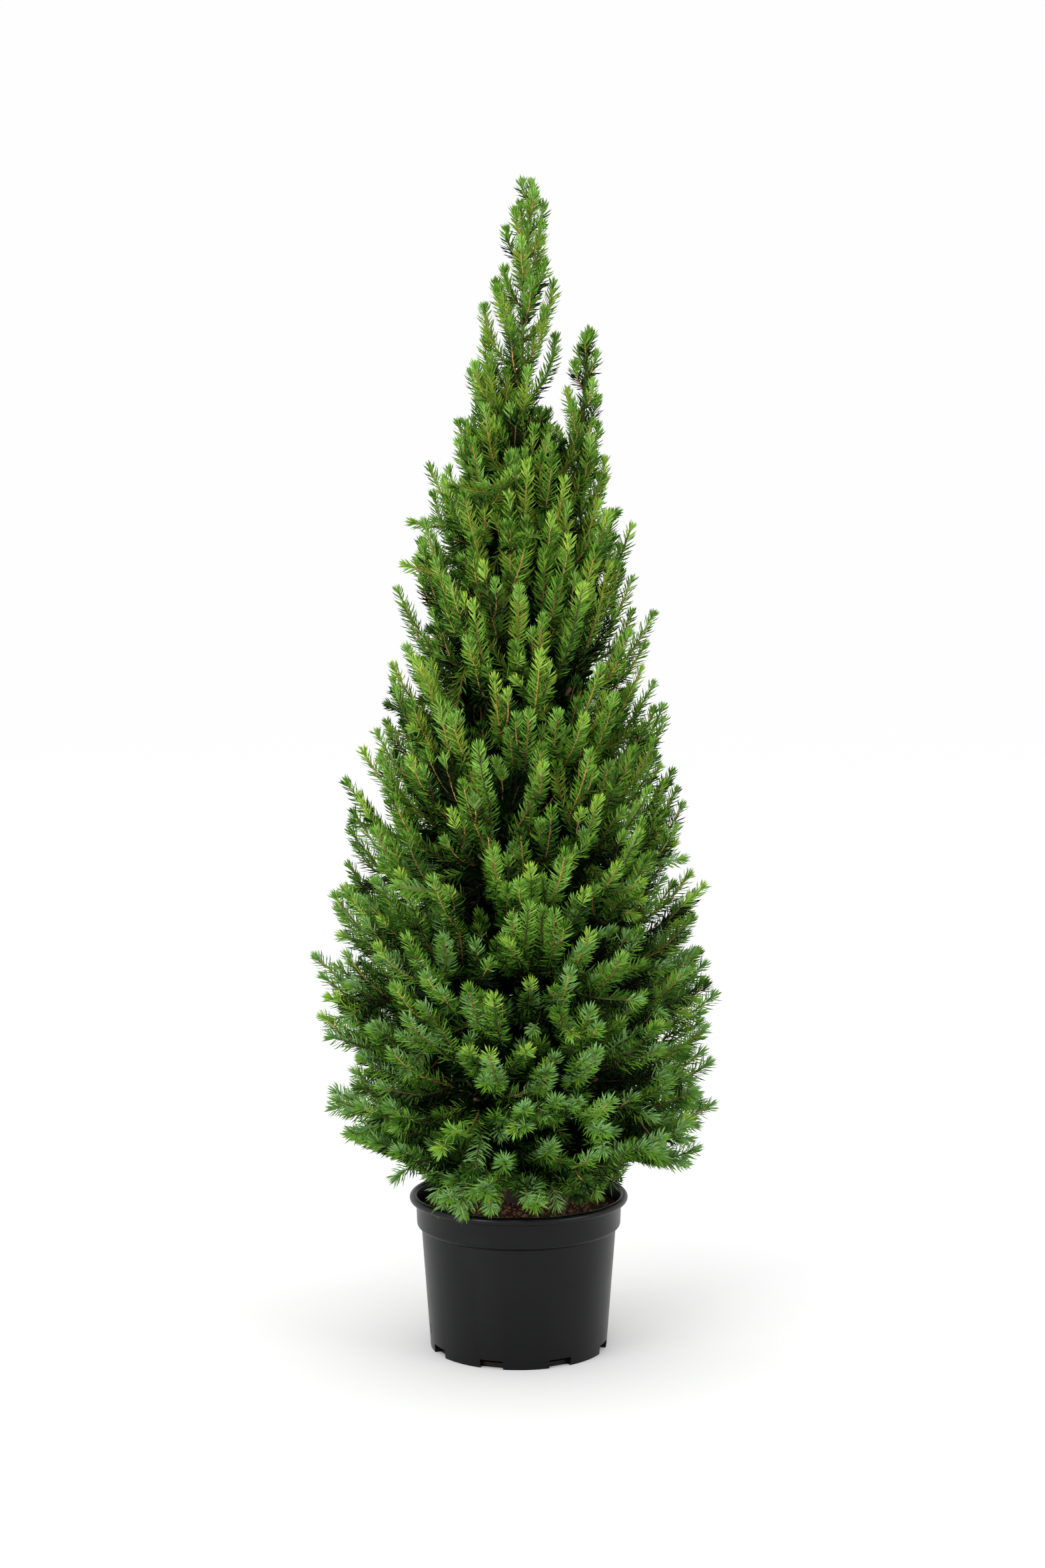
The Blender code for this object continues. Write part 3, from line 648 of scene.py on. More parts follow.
def mix_surface(context):
    sizes, colours = context.scene.spruce_pot, context.scene.spruce_colours
    clear = WALL + GAP + MIX_CLEAR
    rings = [
        (INNERMOST, FLOOR_TOP + GAP),
        (FOOT_RADIUS - clear, FLOOR_TOP + GAP),
        (WALL_TOP_RADIUS - clear, WALL_TOP + WALL),
        (COLLAR_RADIUS - clear - MIX_CLEAR_COLLAR, COLLAR_BOTTOM + WALL),
        (MIX_EDGE_RADIUS - MIX_CLEAR_EDGE, MIX_EDGE - MIX_EDGE_DEPTH),
    ]
    shares = np.linspace(1.0, 0.05, MIX_RINGS)
    rings += [(MIX_EDGE_RADIUS * s, between(MIX_TOP, MIX_EDGE, s**2) - MIX_SINK) for s in shares]
    piece = turned(rings, MIX_SEGMENTS)
    top = piece.vertex_groups.new(name="top")
    top.add([v.index for v in piece.data.vertices if v.co.z > MIX_EDGE - 0.003], 1.0, "REPLACE")
    for grain, height in LUMPS:
        add_relief(piece, "CLOUDS", grain, sizes.lump * height, 0.5, direction="Z", vertex_group="top")
    apply_all(piece)
    finish = speckled_finish("Potting Mix", colours.mix)
    settle(piece, "mix_surface", finish, "potting_mix", slot="potting_mix")
    # Painted shade: the mix below the collar gets a near-black copy of its colour, seen through the notches
    piece.data.materials.append(plain_finish("Shaded Mix", shaded(colours.mix, SHADED_MIX), 1.0, 0.0))
    for face in piece.data.polygons:
        face.material_index = int(face.center.z < COLLAR_BOTTOM)


def mix_chips(context):
    """Crumbs of bark, each stretched, made uneven and turned its own way."""
    rng = np.random.default_rng(CHIP_SEED)
    points, triangles = chip_mesh()
    count = context.scene.spruce_pot.chips
    radius = (MIX_EDGE_RADIUS - CHIPS_FROM_EDGE) * np.sqrt(rng.random(count))
    height = between(MIX_TOP, MIX_EDGE, (radius / MIX_EDGE_RADIUS) ** 2) - CHIP_SINK
    centres = polar(radius, rng.uniform(0.0, 360.0, count), height)
    scales = rng.uniform(*CHIP_SIZES, (count, 1, 1)) * rng.uniform(*CHIP_SIDES, (count, 1, 3))
    uneven = points[None] * rng.uniform(*CHIP_CORNERS, (count, len(points), 1))
    placed = np.einsum("nij,nkj->nki", turn_matrices(rng, count), uneven * scales) + centres[:, None]
    placed[..., 2] = np.minimum(placed[..., 2], MIX_TOP + CHIP_TOP)
    faces = triangles[None] + (np.arange(count) * len(points))[:, None, None]
    chips = mesh_piece("mix_chips", placed.reshape(-1, 3), faces.reshape(-1, 3))
    finish = speckled_finish("Bark Chips", context.scene.spruce_colours.mix)
    settle(chips, "mix_chips", finish, slot="potting_mix")


# Trunk and boughs


def trunk_radius(height):
    share = share_over(height, TRUNK_FOOT, TRUNK_TOP - TRUNK_FOOT)
    flare = np.maximum(0.0, 1.0 - (height - TRUNK_FOOT) / FLARE_HEIGHT) ** 2
    return between(TRUNK_RADIUS, TRUNK_TIP_RADIUS, share) + flare * (FLARE_RADIUS - TRUNK_RADIUS)


def trunk_centre(height):
    share = share_over(height, TRUNK_FOOT, TRUNK_TOP - TRUNK_FOOT)
    sway = TRUNK_SWAY * np.sin(2 * np.pi * share) * np.sin(np.pi * share)
    return np.stack([sway, 0.6 * sway, height * np.ones_like(share)], axis=-1)


def smooth_route(points, radii, step):
    """Points and radii at an even step along a polyline."""
    points, radii = np.asarray(points, float), np.asarray(radii, float)
    lengths = np.concatenate([[0.0], np.cumsum(np.linalg.norm(np.diff(points, axis=0), axis=1))])
    spots = np.linspace(0.0, lengths[-1], max(2, int(lengths[-1] / step) + 1))
    route = np.stack([np.interp(spots, lengths, points[:, k]) for k in range(3)], axis=1)
    return route, np.interp(spots, lengths, radii)


def bark_limb(points, radii, sides):
    tilt = Vector(points[1] - points[0]).to_track_quat("Z", "Y")
    return limb(points, radii, sides, tilt.to_euler())


def sector_stem(tier, number):
    """A mass's branch height, azimuth, half its sector, its stem's start and end, and the trunk's edge."""
    half = 180.0 / tier.masses
    middle = tier.border + half * (2 * number + 1)
    leaves_at = between(tier.low, tier.high, 0.5 + WHORL_STEP * (number % 3 - 1))
    outer = float(branch_reach(np.array(leaves_at), np.array(middle)))
    edge = float(trunk_radius(leaves_at)) + GAP
    starts = outer * STEM_STARTS if tier.has_bough else edge + STEM_CLEAR
    return leaves_at, middle, half, starts, outer * STEM_ENDS, edge


def bough(points, radii):
    route, radii = smooth_route(points, radii, BOUGH_STEP)
    return bark_limb(route, radii * BOUGH_CORE, BOUGH_SIDES)


def tier_bough(tier, number):
    leaves_at, middle, _, starts, _, edge = sector_stem(tier, number)
    root = trunk_centre(leaves_at) + polar(edge, middle, 0.0)
    end = polar(starts, middle, branch_height(leaves_at, starts))
    collar = root + polar(LIMB_COLLAR, middle, 0.0)
    return bough([root, collar, end], [BOUGH_RADIUS, BOUGH_RADIUS, BOUGH_TIP_RADIUS])


def rival_bough():
    foot, azimuth = np.array(RIVAL_FOOT), RIVAL_AZIMUTH
    edge = trunk_radius(RIVAL_LEAVES_TRUNK) + GAP
    root = trunk_centre(RIVAL_LEAVES_TRUNK) + polar(edge, azimuth, 0.0)
    collar = root + polar(LIMB_COLLAR, azimuth, 0.0)
    bend = root + polar(RIVAL_BEND[0], azimuth, RIVAL_BEND[1])
    return bough([root, collar, bend, foot - RIVAL_RISE, foot], RIVAL_RADII)


def settle_bark(piece, name, finish, ridges, *nodes):
    height, size = ridges
    add_relief(piece, "STUCCI", size, height, RIDGE_MIDDLE)
    apply_all(piece)
    smooth(piece, 50)
    settle(piece, name, finish, *nodes, slot="bark")


def build_bark(context):
    finish = speckled_finish("Bark", context.scene.spruce_colours.bark)
    heights = np.linspace(TRUNK_FOOT, TRUNK_TOP, TRUNK_RINGS)
    trunk = bark_limb(trunk_centre(heights), trunk_radius(heights) * TRUNK_CORE, TRUNK_SIDES)
    settle_bark(trunk, "trunk_bark", finish, TRUNK_RIDGES, "trunk")

    carried = [(tier, number) for tier in TIERS if tier.has_bough for number in range(tier.masses)]
    joined = join([*(tier_bough(*mass) for mass in carried), rival_bough()])
    nodes = [f"{tier.title}_bough_{number + 1}" for tier, number in carried]
    settle_bark(joined, "bough_bark", finish, BOUGH_RIDGES, *nodes, "rival_leader_bough")


# Crown rule


def branch_height(leaves_at, radius):
    """Height, at a distance from the axis, of the branch that leaves the trunk at a height."""
    share = share_over(leaves_at, CROWN_FOOT, CROWN_CREST - CROWN_FOOT)
    set_off = np.tan(np.radians(between(SET_OFF_FOOT, SET_OFF_CREST, share)))
    end = np.tan(np.radians(between(END_FOOT, END_CREST, share**TURN_UP_POWER)))
    shrink = np.clip((REACH_GONE - leaves_at) / (REACH_GONE - WIDE_UP_TO), LEAST_REACH, 1.0)
    return leaves_at + radius * set_off + radius**2 * (end - set_off) / (2 * WIDE_REACH * shrink)


def crown_reach(height, azimuth):
    """Distance from the axis to the tips of the shoots."""
    rows = np.array(CROWN_OUTLINE)
    left = np.interp(height, rows[:, 0], rows[:, 1])
    right = np.interp(height, rows[:, 0], rows[:, 2])
    angle = np.radians(azimuth)
    mean = between(left, right, (1 + np.cos(angle)) / 2)
    return mean * (1 + BULGE * np.sin(angle) ** 2 * np.sin(3 * angle + 17 * height))


def branch_reach(leaves_at, azimuth):
    """Where the branch meets the crown's outline."""
    radius = np.full(np.broadcast(leaves_at, azimuth).shape, WIDE_REACH)
    for _ in range(12):
        radius = (radius + crown_reach(branch_height(leaves_at, radius), azimuth)) / 2
    return radius


# Branches, each a row of points


# Layers of branches: share of them, least and most that they fall short of the outline, and painted shade
LAYERS = (
    (0.42, 0.0, 0.09, 0.0),
    (0.22, 0.13, 0.26, 0.35),
    (0.18, 0.30, 0.46, 0.75),
    (0.18, 0.50, 0.66, 1.0),
)

AXIS_POINTS = 13
SIDE_POINTS = 8
INSIDE_POINTS = 7
LEAFY_LENGTH = 0.100
# Painted shade: how much more often side shoots take the dark shaded tints than their branch
SIDES_DARKER = 0.12
SHORTEST_SHOOT = 0.014
NEEDLES_BEYOND = 0.006

# Main branches
ROW_STRAY = 0.42
COLUMN_STRAY = 0.35
STAGGER = 0.25
FORK_SHARES = (0.02, 0.9)
FORKS_WITHIN = 0.45
BENT_BY = 0.55
WANDER = 0.0045
TIP_TURN = (0.02, 0.07)
TIP_TURN_SPAN = 0.2

# Side shoots, with the lift low and high up in the crown
SIDES_PER_AXIS = 2
SIDE_PLACES = (0.26, 0.76)
SIDE_TURN = 77.0
SIDE_STRAY = 35
SIDE_SPREAD = (40.0, 58.0)
SIDE_SHARE = (0.60, 0.95)
SIDE_LENGTHS = (0.026, 0.078)
SIDE_BEND = 1.5
SIDE_LIFT = (-0.45, 0.95)
UPPER_SPAN = 0.35

# Shoots of the leaders
LEADER_SEED = 99
LEADER_SHOOTS_END = 0.93
LEADER_SHORTEST = 0.24
LEADER_STRAY = 20
LEADER_LEAN = (58.0, 4.0)

# The skirt's twigs keep this far above the pot, and hang lower beyond this radius
OVER_RIM = 0.029
OVER_RIM_RADIUS = 0.108
OVER_RIM_SLOPE = 0.8

# The skirt's lower edge at both sides of the pot, as seen from the front: place across and height
SKIRT_EDGE = (
    (-0.140, 0.186),
    (-0.110, 0.174),
    (-0.085, 0.164),
    (0.075, 0.164),
    (0.100, 0.172),
    (0.135, 0.159),
    (0.160, 0.174),
)
SIGHT_DROP = 0.24
BESIDE_RIM = 0.068
BESIDE_RIM_SPAN = 0.02

# The gap between the leader and its rival: from and to across, and above which height
GAP_BESIDE_LEADER = (0.017, 0.048, 0.800)

# Shoots that droop to the rim: azimuth, reach and height of the tip
RIM_SHOOTS = (
    (-165.0, 0.108, 0.155),
    (-153.0, 0.079, 0.142),
    (-137.0, 0.087, 0.137),
    (-117.0, 0.100, 0.140),
    (-107.0, 0.078, 0.142),
    (-74.0, 0.062, 0.149),
    (-67.0, 0.081, 0.144),
    (-52.0, 0.076, 0.158),
    (-33.0, 0.079, 0.146),
)
RIM_SHOOT_FOOT = (0.038, 0.188)

# The dried sprig over the rim's right end: where it starts, where it ends and its needles' length
DRY_SPRIG = ((0.070, 0.010, 0.185), (0.0875, 0.010, 0.147), 0.0075)

# Twigs along the trunk with needles in painted shade, with their length as a share of the reach
INNER_TWIGS = 320
INNER_HEIGHTS = (0.165, 0.71)
INNER_REACH = (0.28, 0.55)


def main_axes(tier, number, rng):
    """Branches of one mass. Each leaves the stem and bends over to its own line of the rule."""
    leaves_at, middle, half, starts, ends, _ = sector_stem(tier, number)
    row, column = np.indices((tier.rows, tier.columns)).reshape(2, -1)
    count = len(row)
    stagger = np.where(row % 2, STAGGER, -STAGGER)
    up = (row + 0.5 + rng.uniform(-ROW_STRAY, ROW_STRAY, count)) / tier.rows
    start_at = between(tier.low, tier.high, up)
    across = (column + 0.5 + stagger + rng.uniform(-COLUMN_STRAY, COLUMN_STRAY, count)) / tier.columns
    azimuth = between(middle - half, middle + half, across)
    full = branch_reach(start_at, azimuth)
    even = (rng.uniform() + np.arange(count) * GOLDEN_SHARE) % 1.0
    layers = np.array(LAYERS)
    layer = np.minimum(np.searchsorted(np.cumsum(layers[:, 0]), even), len(LAYERS) - 1)
    _, least, most, shade = layers[layer].T
    tip_radius = (full - NEEDLES_BEYOND) * (1.0 - rng.uniform(least, most))
    fork_radius = between(starts, ends, rng.uniform(*FORK_SHARES, count))
    fork_radius = np.minimum(fork_radius, tip_radius * FORKS_WITHIN)
    shares = shares_of(AXIS_POINTS)[None]
    radius = between(fork_radius[:, None], tip_radius[:, None], shares)
    blend = smoothstep(shares / BENT_BY)
    at = between(leaves_at, start_at[:, None], blend)
    turn = between(middle, azimuth[:, None], blend)
    sag = between(*TIP_TURN, share_over(start_at, CROWN_FOOT, TIP_TURN_SPAN))[:, None]
    points = polar(radius, turn, branch_height(at, radius) - sag * shares**2 * (1.0 - shares))
    wander = rng.normal(0.0, WANDER, (count, 1, 3)) * (shares**2)[..., None]
    points = over_rim(points + wander)
    clear = ~in_gap(points).any(axis=1)
    return points[clear], shade[clear]


def in_gap(paths):
    """Which points lie in the gap between the leader and its rival."""
    least, most, above = GAP_BESIDE_LEADER
    return (paths[..., 0] > least) & (paths[..., 0] < most) & (paths[..., 2] > above)


def at_spots(values, owner, spots):
    """What some paths' values are at fractional spots along them."""
    first = np.clip(spots.astype(int), 0, values.shape[1] - 2)
    part = (spots - first)[..., None]
    return values[owner, first] * (1 - part) + values[owner, first + 1] * part


def resample(paths, starts, ends, count):
    """The same paths, cut to run between two shares of their points."""
    starts, ends = np.broadcast_arrays(starts, ends)
    spots = between(starts[:, None], ends[:, None], shares_of(count)[None]) * (paths.shape[1] - 1)
    return at_spots(paths, np.arange(len(paths))[:, None], spots)


def walked(starts, ways, lengths):
    """Paths that set out from their starts and take even steps, each its own way."""
    hop = (lengths / (ways.shape[1] - 1))[:, None, None] * ways
    return starts[:, None] + np.cumsum(hop, axis=1) - hop[:, :1]


def path_lengths(paths):
    return np.linalg.norm(np.diff(paths, axis=1), axis=2).sum(axis=1)


def side_shoots(paths, lengths, rng):
    """Side shoots, which leave a branch at an angle and bend over to run beside it."""
    owner = np.repeat(np.arange(len(paths)), SIDES_PER_AXIS)
    turn = np.tile(np.arange(SIDES_PER_AXIS), len(paths))
    count = len(owner)
    share = between(*SIDE_PLACES, (turn + rng.uniform(0.1, 0.9, count)) / SIDES_PER_AXIS)
    spots = share * (paths.shape[1] - 1)
    first = spots.astype(int)
    foot = at_spots(paths, owner, spots)
    ahead = unit(paths[owner, first + 1] - paths[owner, first])
    aside = unit(np.cross(ahead, UP) + 1e-6)
    upper = unit(np.cross(aside, ahead))
    stray = rng.uniform(-SIDE_STRAY, SIDE_STRAY, count)
    roll = np.radians(turn * GOLDEN_ANGLE + owner * SIDE_TURN + stray)[:, None]
    off = unit(aside * np.cos(roll) + upper * (np.sin(roll) * 0.8 + 0.15))
    spread = np.radians(rng.uniform(*SIDE_SPREAD, count))[:, None]
    heading = unit(ahead * np.cos(spread) + off * np.sin(spread))[:, None]
    long = np.clip(lengths[owner] * (1.0 - share) * rng.uniform(*SIDE_SHARE, count), *SIDE_LENGTHS)
    lift = between(*SIDE_LIFT, share_over(foot[:, 2:], CROWN_FOOT, UPPER_SPAN))
    rise = unit(ahead + UP * lift)[:, None]
    left = (1 - shares_of(SIDE_POINTS)[None, :, None]) ** SIDE_BEND
    return walked(foot, unit(heading * left + rise * (1 - left)), long), owner


def cut_to_reach(paths):
    """Cuts each path where it leaves the crown's reach or enters the gap beside the leader."""
    radius = np.hypot(paths[..., 0], paths[..., 1])
    azimuth = np.degrees(np.arctan2(paths[..., 1], paths[..., 0]))
    beyond = radius > crown_reach(paths[..., 2], azimuth) - NEEDLES_BEYOND
    beyond |= in_gap(paths)
    beyond[:, 0] = False
    end = paths.shape[1] - 1
    last = np.where(beyond.any(axis=1), beyond.argmax(axis=1), end)
    paths = resample(paths, 0.0, last / end, paths.shape[1])
    return over_rim(paths), path_lengths(paths) > SHORTEST_SHOOT


def over_rim(paths):
    """Lifts what would hide the rim."""
    x, y = paths[..., 0], paths[..., 1]
    outside = np.clip(np.hypot(x, y) - OVER_RIM_RADIUS, 0.0, OVER_RIM)
    least = POT_HEIGHT + OVER_RIM - OVER_RIM_SLOPE * outside
    edge = np.array(SKIRT_EDGE)
    seen = np.interp(x, edge[:, 0], edge[:, 1]) - SIGHT_DROP * y
    beside = smoothstep((np.abs(x) - BESIDE_RIM) / BESIDE_RIM_SPAN)
    lifted = paths.copy()
    lifted[..., 2] = np.maximum(paths[..., 2], between(least, np.maximum(least, seen), beside))
    return lifted


# Twigs and needles as arrays


# Needles low and high up in the crown: length, lean along a shoot, and lean and length at its tip
NEEDLES_LOW = (1.0, 64.0, 54.0, 0.85)
NEEDLES_HIGH = (0.86, 54.0, 40.0, 0.72)

# Spacing, length and width of other needles, as multiples of the panel's
NEEDLES_INSIDE = (1.8, 1.4, 2.8)
NEEDLES_AT_TRUNK = (2.0, 1.4, 2.8)
NEEDLES_OF_LEADERS = (0.72, 0.96, 1.05)

# How needles vary along a shoot, by the distance from its tip or its foot
NEAR_TIP = 0.014
TIP_COLOUR = 0.009
TURN_STRAY = 25.0
PARTING = 0.25
LEAN_STRAY = 7.0
LENGTH_SHARES = (0.84, 1.10)
SHORT_AT_FOOT = 0.55
SHORT_WITHIN = 0.012
OFF_TWIG = 0.0003

# Tuft at a shoot's end
TUFT = 16
TUFT_DEPTH = 0.003
TUFT_LEAN = (6.0, 50.0)

# A needle's blade: curve, place of its widest part along itself and along the curve, foot, triangles
BLADE_CURVE = 0.22
WIDEST = (0.72, 0.42)
BLADE_FOOT = 0.7
BLADE = np.array([(0, 1, 3), (0, 3, 2), (2, 3, 4)])

# Needles that turn darker: those that point down past this, as painted shade, and those on a shoot's old
# share
SHADED_UNDERSIDE = -0.25
OLD_WOOD = 0.62

# Tints of the outer needles: how high up a row reaches, and its tints with the luck below which each
# is dealt
OUTER_TINTS = (
    (0.25, (("leaf", 0.34), ("cool", 0.90), ("deep", 1.0))),
    (0.58, (("fresh", 0.20), ("leaf", 0.72), ("deep", 1.0))),
    (0.82, (("fresh", 0.12), ("sunny", 0.60), ("leaf", 1.0))),
    (2.00, (("fresh", 0.10), ("sunny", 0.50), ("leaf", 0.90), ("deep", 1.0))),
)
# Painted shade inside the crown: the tints of shaded twigs along them, and below, at their tips
INNER_TINTS = (("deep", 0.45), ("inner", 1.0))
TIP_TINTS = (("fresh", 0.75), ("leaf", 1.0))
INNER_TIP_TINTS = (("leaf", 0.4), ("deep", 1.0))
TINTS_FROM = 0.15
TINTS_SPAN = 0.75
TINTS_STRAY = 0.2


def frames_along(paths):
    """Ahead, aside and upper directions at each point of each path."""
    ahead = unit(np.gradient(paths, axis=1))
    reference = np.where(np.abs(ahead[..., 2:3]) > 0.92, (1.0, 0.0, 0.0), UP)
    aside = unit(np.cross(ahead, reference))
    return ahead, aside, np.cross(aside, ahead)


def twig_arrays(paths, foot_radius, tip_radius, tints, sides=4, old=0.0):
    """Tapering tubes along the paths, capped at both ends. Their old share, from the foot, is browner."""
    if paths.shape[1] > SIDE_POINTS:
        paths = paths[:, ::2]
    count, steps, _ = paths.shape
    _, aside, upper = frames_along(paths)
    radius = between(foot_radius, tip_radius, shares_of(steps)[None, :, None])
    turns = np.linspace(0.0, 2.0 * np.pi, sides, endpoint=False)
    rings = [paths + radius * (aside * math.cos(turn) + upper * math.sin(turn)) for turn in turns]
    points = np.stack(rings, axis=2)
    base = np.arange(count * steps * sides).reshape(count, steps, sides)
    near, far = base[:, :-1], base[:, 1:]
    near_next, far_next = np.roll(near, -1, axis=2), np.roll(far, -1, axis=2)
    lower = np.stack([near, far, near_next], axis=-1).reshape(count, -1, 3)
    higher = np.stack([near_next, far, far_next], axis=-1).reshape(count, -1, 3)
    start, end = base[:, 0], base[:, -1]
    fans = [start[:, [0, k, k + 1]] for k in range(1, sides - 1)]
    fans += [end[:, [0, k + 1, k]] for k in range(1, sides - 1)]
    faces = np.concatenate([lower, higher, np.stack(fans, axis=1)], axis=1)
    browner = np.zeros(faces.shape[1], int)
    of_ring = np.repeat(np.arange(steps - 1), sides)
    browner[: 2 * len(of_ring)] = np.tile(of_ring < old * (steps - 1), 2)
    tints = np.minimum(np.broadcast_to(tints, count)[:, None] + browner, len(TWIG_TINTS) - 1)
    return points.reshape(-1, 3), faces.reshape(-1, 3), tints.ravel()


def needle_sizes(crown, spacing=1.0, length=1.0, width=1.0):
    return crown.needle_spacing * spacing, crown.needle_length * length, crown.needle_width * width


def needle_arrays(paths, sizes, tints, tip_tints, rng, bare=0.0):
    """Slim blunt blades round the paths by the golden angle. They lean further forward and grow
    shorter towards each tip, where a tuft of them takes the tip's own colour."""
    spacing, length, width = sizes
    count, steps, _ = paths.shape
    lengths = path_lengths(paths)
    numbers = np.maximum(3, (lengths * (1 - bare) / spacing).astype(int)) + TUFT
    owner = np.repeat(np.arange(count), numbers)
    order = np.concatenate([np.arange(n) for n in numbers])
    total = len(order)
    share = (order + rng.random(total)) / (numbers[owner] - TUFT)
    in_tuft = share >= 1.0
    share = np.where(in_tuft, 1.0 - rng.uniform(0.0, TUFT_DEPTH, total) / lengths[owner], share)
    share = np.clip(bare + (1 - bare) * (1 - np.abs(1 - share) ** 1.15), 0.0, 0.999)
    spots = share * (steps - 1)
    ahead, aside, upper = (unit(at_spots(way, owner, spots)) for way in frames_along(paths))
    foot = at_spots(paths, owner, spots)

    to_tip = (1.0 - share) * lengths[owner]
    near_tip = np.clip(1.0 - to_tip / NEAR_TIP, 0.0, 1.0)
    turn = np.radians(order * GOLDEN_ANGLE + rng.uniform(-TURN_STRAY, TURN_STRAY, total))[:, None]
    turn = turn - PARTING * np.sin(2.0 * turn)
    outward = aside * np.cos(turn) + upper * np.sin(turn)
    upper_share = smoothstep((foot[:, 2] - CROWN_FOOT) / UPPER_SPAN)
    size, side_lean, tip_lean, tip_size = (
        between(low, high, upper_share) for low, high in zip(NEEDLES_LOW, NEEDLES_HIGH, strict=True)
    )
    lean = between(side_lean, tip_lean, near_tip) + rng.normal(0.0, LEAN_STRAY, total)
    lean = np.radians(np.where(in_tuft, rng.uniform(*TUFT_LEAN, total), lean))[:, None]
    heading = ahead * np.cos(lean) + outward * np.sin(lean)
    long = length * size * between(1.0, tip_size, near_tip) * rng.uniform(*LENGTH_SHARES, total)
    grown = SHORT_AT_FOOT + share * lengths[owner] / SHORT_WITHIN
    long = (long * np.clip(grown, SHORT_AT_FOOT, 1.0))[:, None]

    start = foot + outward * OFF_TWIG
    curve = ahead * long * BLADE_CURVE
    wide = start + heading * long * WIDEST[0] + curve * WIDEST[1]
    end = start + heading * long + curve
    roll = rng.uniform(0.0, np.pi, (total, 1))
    level = unit(np.cross(ahead, outward))
    flat = (level * np.cos(roll) + np.cross(level, heading) * np.sin(roll)) * (width / 2)
    thin = flat * BLADE_FOOT
    points = np.stack([start - thin, start + thin, wide - flat, wide + flat, end], axis=1)
    faces = BLADE[None] + (np.arange(total) * points.shape[1])[:, None, None]

    tints, tip_tints = np.broadcast_to(tints, count)[owner], np.broadcast_to(tip_tints, count)[owner]
    tints = np.where(to_tip < TIP_COLOUR, tip_tints, tints)
    # Needles that point down take a darker tint as painted shade, needles on the old share a darker tint of
    # their own; both darken twice
    under, old = outward[:, 2] < SHADED_UNDERSIDE, share < rng.uniform(0.0, OLD_WOOD, total)
    tints = np.where(under | old, DARKER[tints], tints)
    tints = np.where(under & old, DARKER[tints], tints)
    return points.reshape(-1, 3), faces.reshape(-1, 3), np.repeat(tints, len(BLADE))


def stacked(parts):
    """Several sets of arrays as one."""
    points, faces, tints = zip(*parts, strict=True)
    shifts = np.cumsum([0, *map(len, points[:-1])])
    faces = [some + shift for some, shift in zip(faces, shifts, strict=True)]
    return np.concatenate(points), np.concatenate(faces), np.concatenate(tints)


def by_luck(luck, tints):
    """Needle tints, drawn from a row of them by each twig's luck."""
    numbers = np.array([NEEDLE_TINTS.index(tint) for tint, _ in tints])
    return numbers[np.searchsorted([below for _, below in tints], luck, side="right")]


def dealt(rng, height, shade, tip=False):
    """Needle tints, dealt out by spray: yellower high up and outside, bluer low down, and darker inside as
    painted shade.
    """
    rise = share_over(height, TINTS_FROM, TINTS_SPAN)
    luck = rng.random(len(height))
    place = rise + rng.uniform(-TINTS_STRAY, TINTS_STRAY, len(height))
    if tip:
        tip_tint, cool, leaf = (NEEDLE_TINTS.index(tint) for tint in ("tip", "cool", "leaf"))
        outer = np.where((place < 0.28) & (luck > 0.15), cool, by_luck(luck, TIP_TINTS))
        outer = np.where(luck < 0.75 * rise * (1.0 - rise**2), tip_tint, outer)
        outer = np.where((place > 0.82) & (luck > 0.25), leaf, outer)
        inner = by_luck(luck, INNER_TIP_TINTS)
    else:
        row = np.searchsorted([top for top, _ in OUTER_TINTS], place, side="right")
        outer = np.choose(row, [by_luck(luck, tints) for _, tints in OUTER_TINTS])
        inner = by_luck(luck, INNER_TINTS)
    # Twigs dealt as shaded take the inner tints, which are painted shade
    return np.where(rng.random(len(height)) < shade, inner, outer)


def dealt_twigs(rng, height):
    """Twig tints: ochre more often high up, brown more often low down."""
    rise = share_over(height, TINTS_FROM, TINTS_SPAN)
    luck = rng.random(len(height))
    return np.where(luck < 0.05 + 0.9 * rise, 0, np.where(luck < 0.55 + 0.5 * rise, 1, 2))


def dressed(paths, height, shade, crown, rng, multiples=(), bare=0.0):
    """Needles along some twigs, with their tints dealt by height and shade."""
    tints, tip_tints = dealt(rng, height, shade), dealt(rng, height, shade, tip=True)
    return needle_arrays(paths, needle_sizes(crown, *multiples), tints, tip_tints, rng, bare)


def grow(axes, shade, crown, rng):
    """Twigs and needles of some branches: the outer part, its side shoots and the inside, whose needles take
    the near-black tint of painted shade.
    """
    lengths = path_lengths(axes)
    outer = np.clip(1.0 - LEAFY_LENGTH * rng.uniform(0.8, 1.25, len(axes)) / lengths, 0.12, 0.8)
    leafy = resample(axes, outer, 1.0, AXIS_POINTS)
    inside = resample(axes, 0.0, outer, INSIDE_POINTS)
    sides, owner = side_shoots(axes, lengths, rng)
    sides, kept = cut_to_reach(sides)
    sides, side_shade = sides[kept], np.minimum(1.0, shade[owner[kept]] + SIDES_DARKER)
    height, side_height = axes[:, -1, 2], sides[:, -1, 2]
    thick = crown.twig_radius
    twigs = [
        twig_arrays(inside, thick * 1.7, thick * 1.15, BROWN),
        twig_arrays(leafy, thick * 1.2, thick * 0.8, dealt_twigs(rng, height), old=0.35),
        twig_arrays(sides, thick * 1.3, thick * 0.8, dealt_twigs(rng, side_height), 3, old=0.3),
    ]
    needles = [
        dressed(leafy, height, shade, crown, rng),
        dressed(sides, side_height, side_shade, crown, rng, bare=0.06),
        needle_arrays(inside, needle_sizes(crown, *NEEDLES_INSIDE), PAINTED_SHADE_TINT, PAINTED_SHADE_TINT, rng, bare=0.1),
    ]
    return twigs, needles


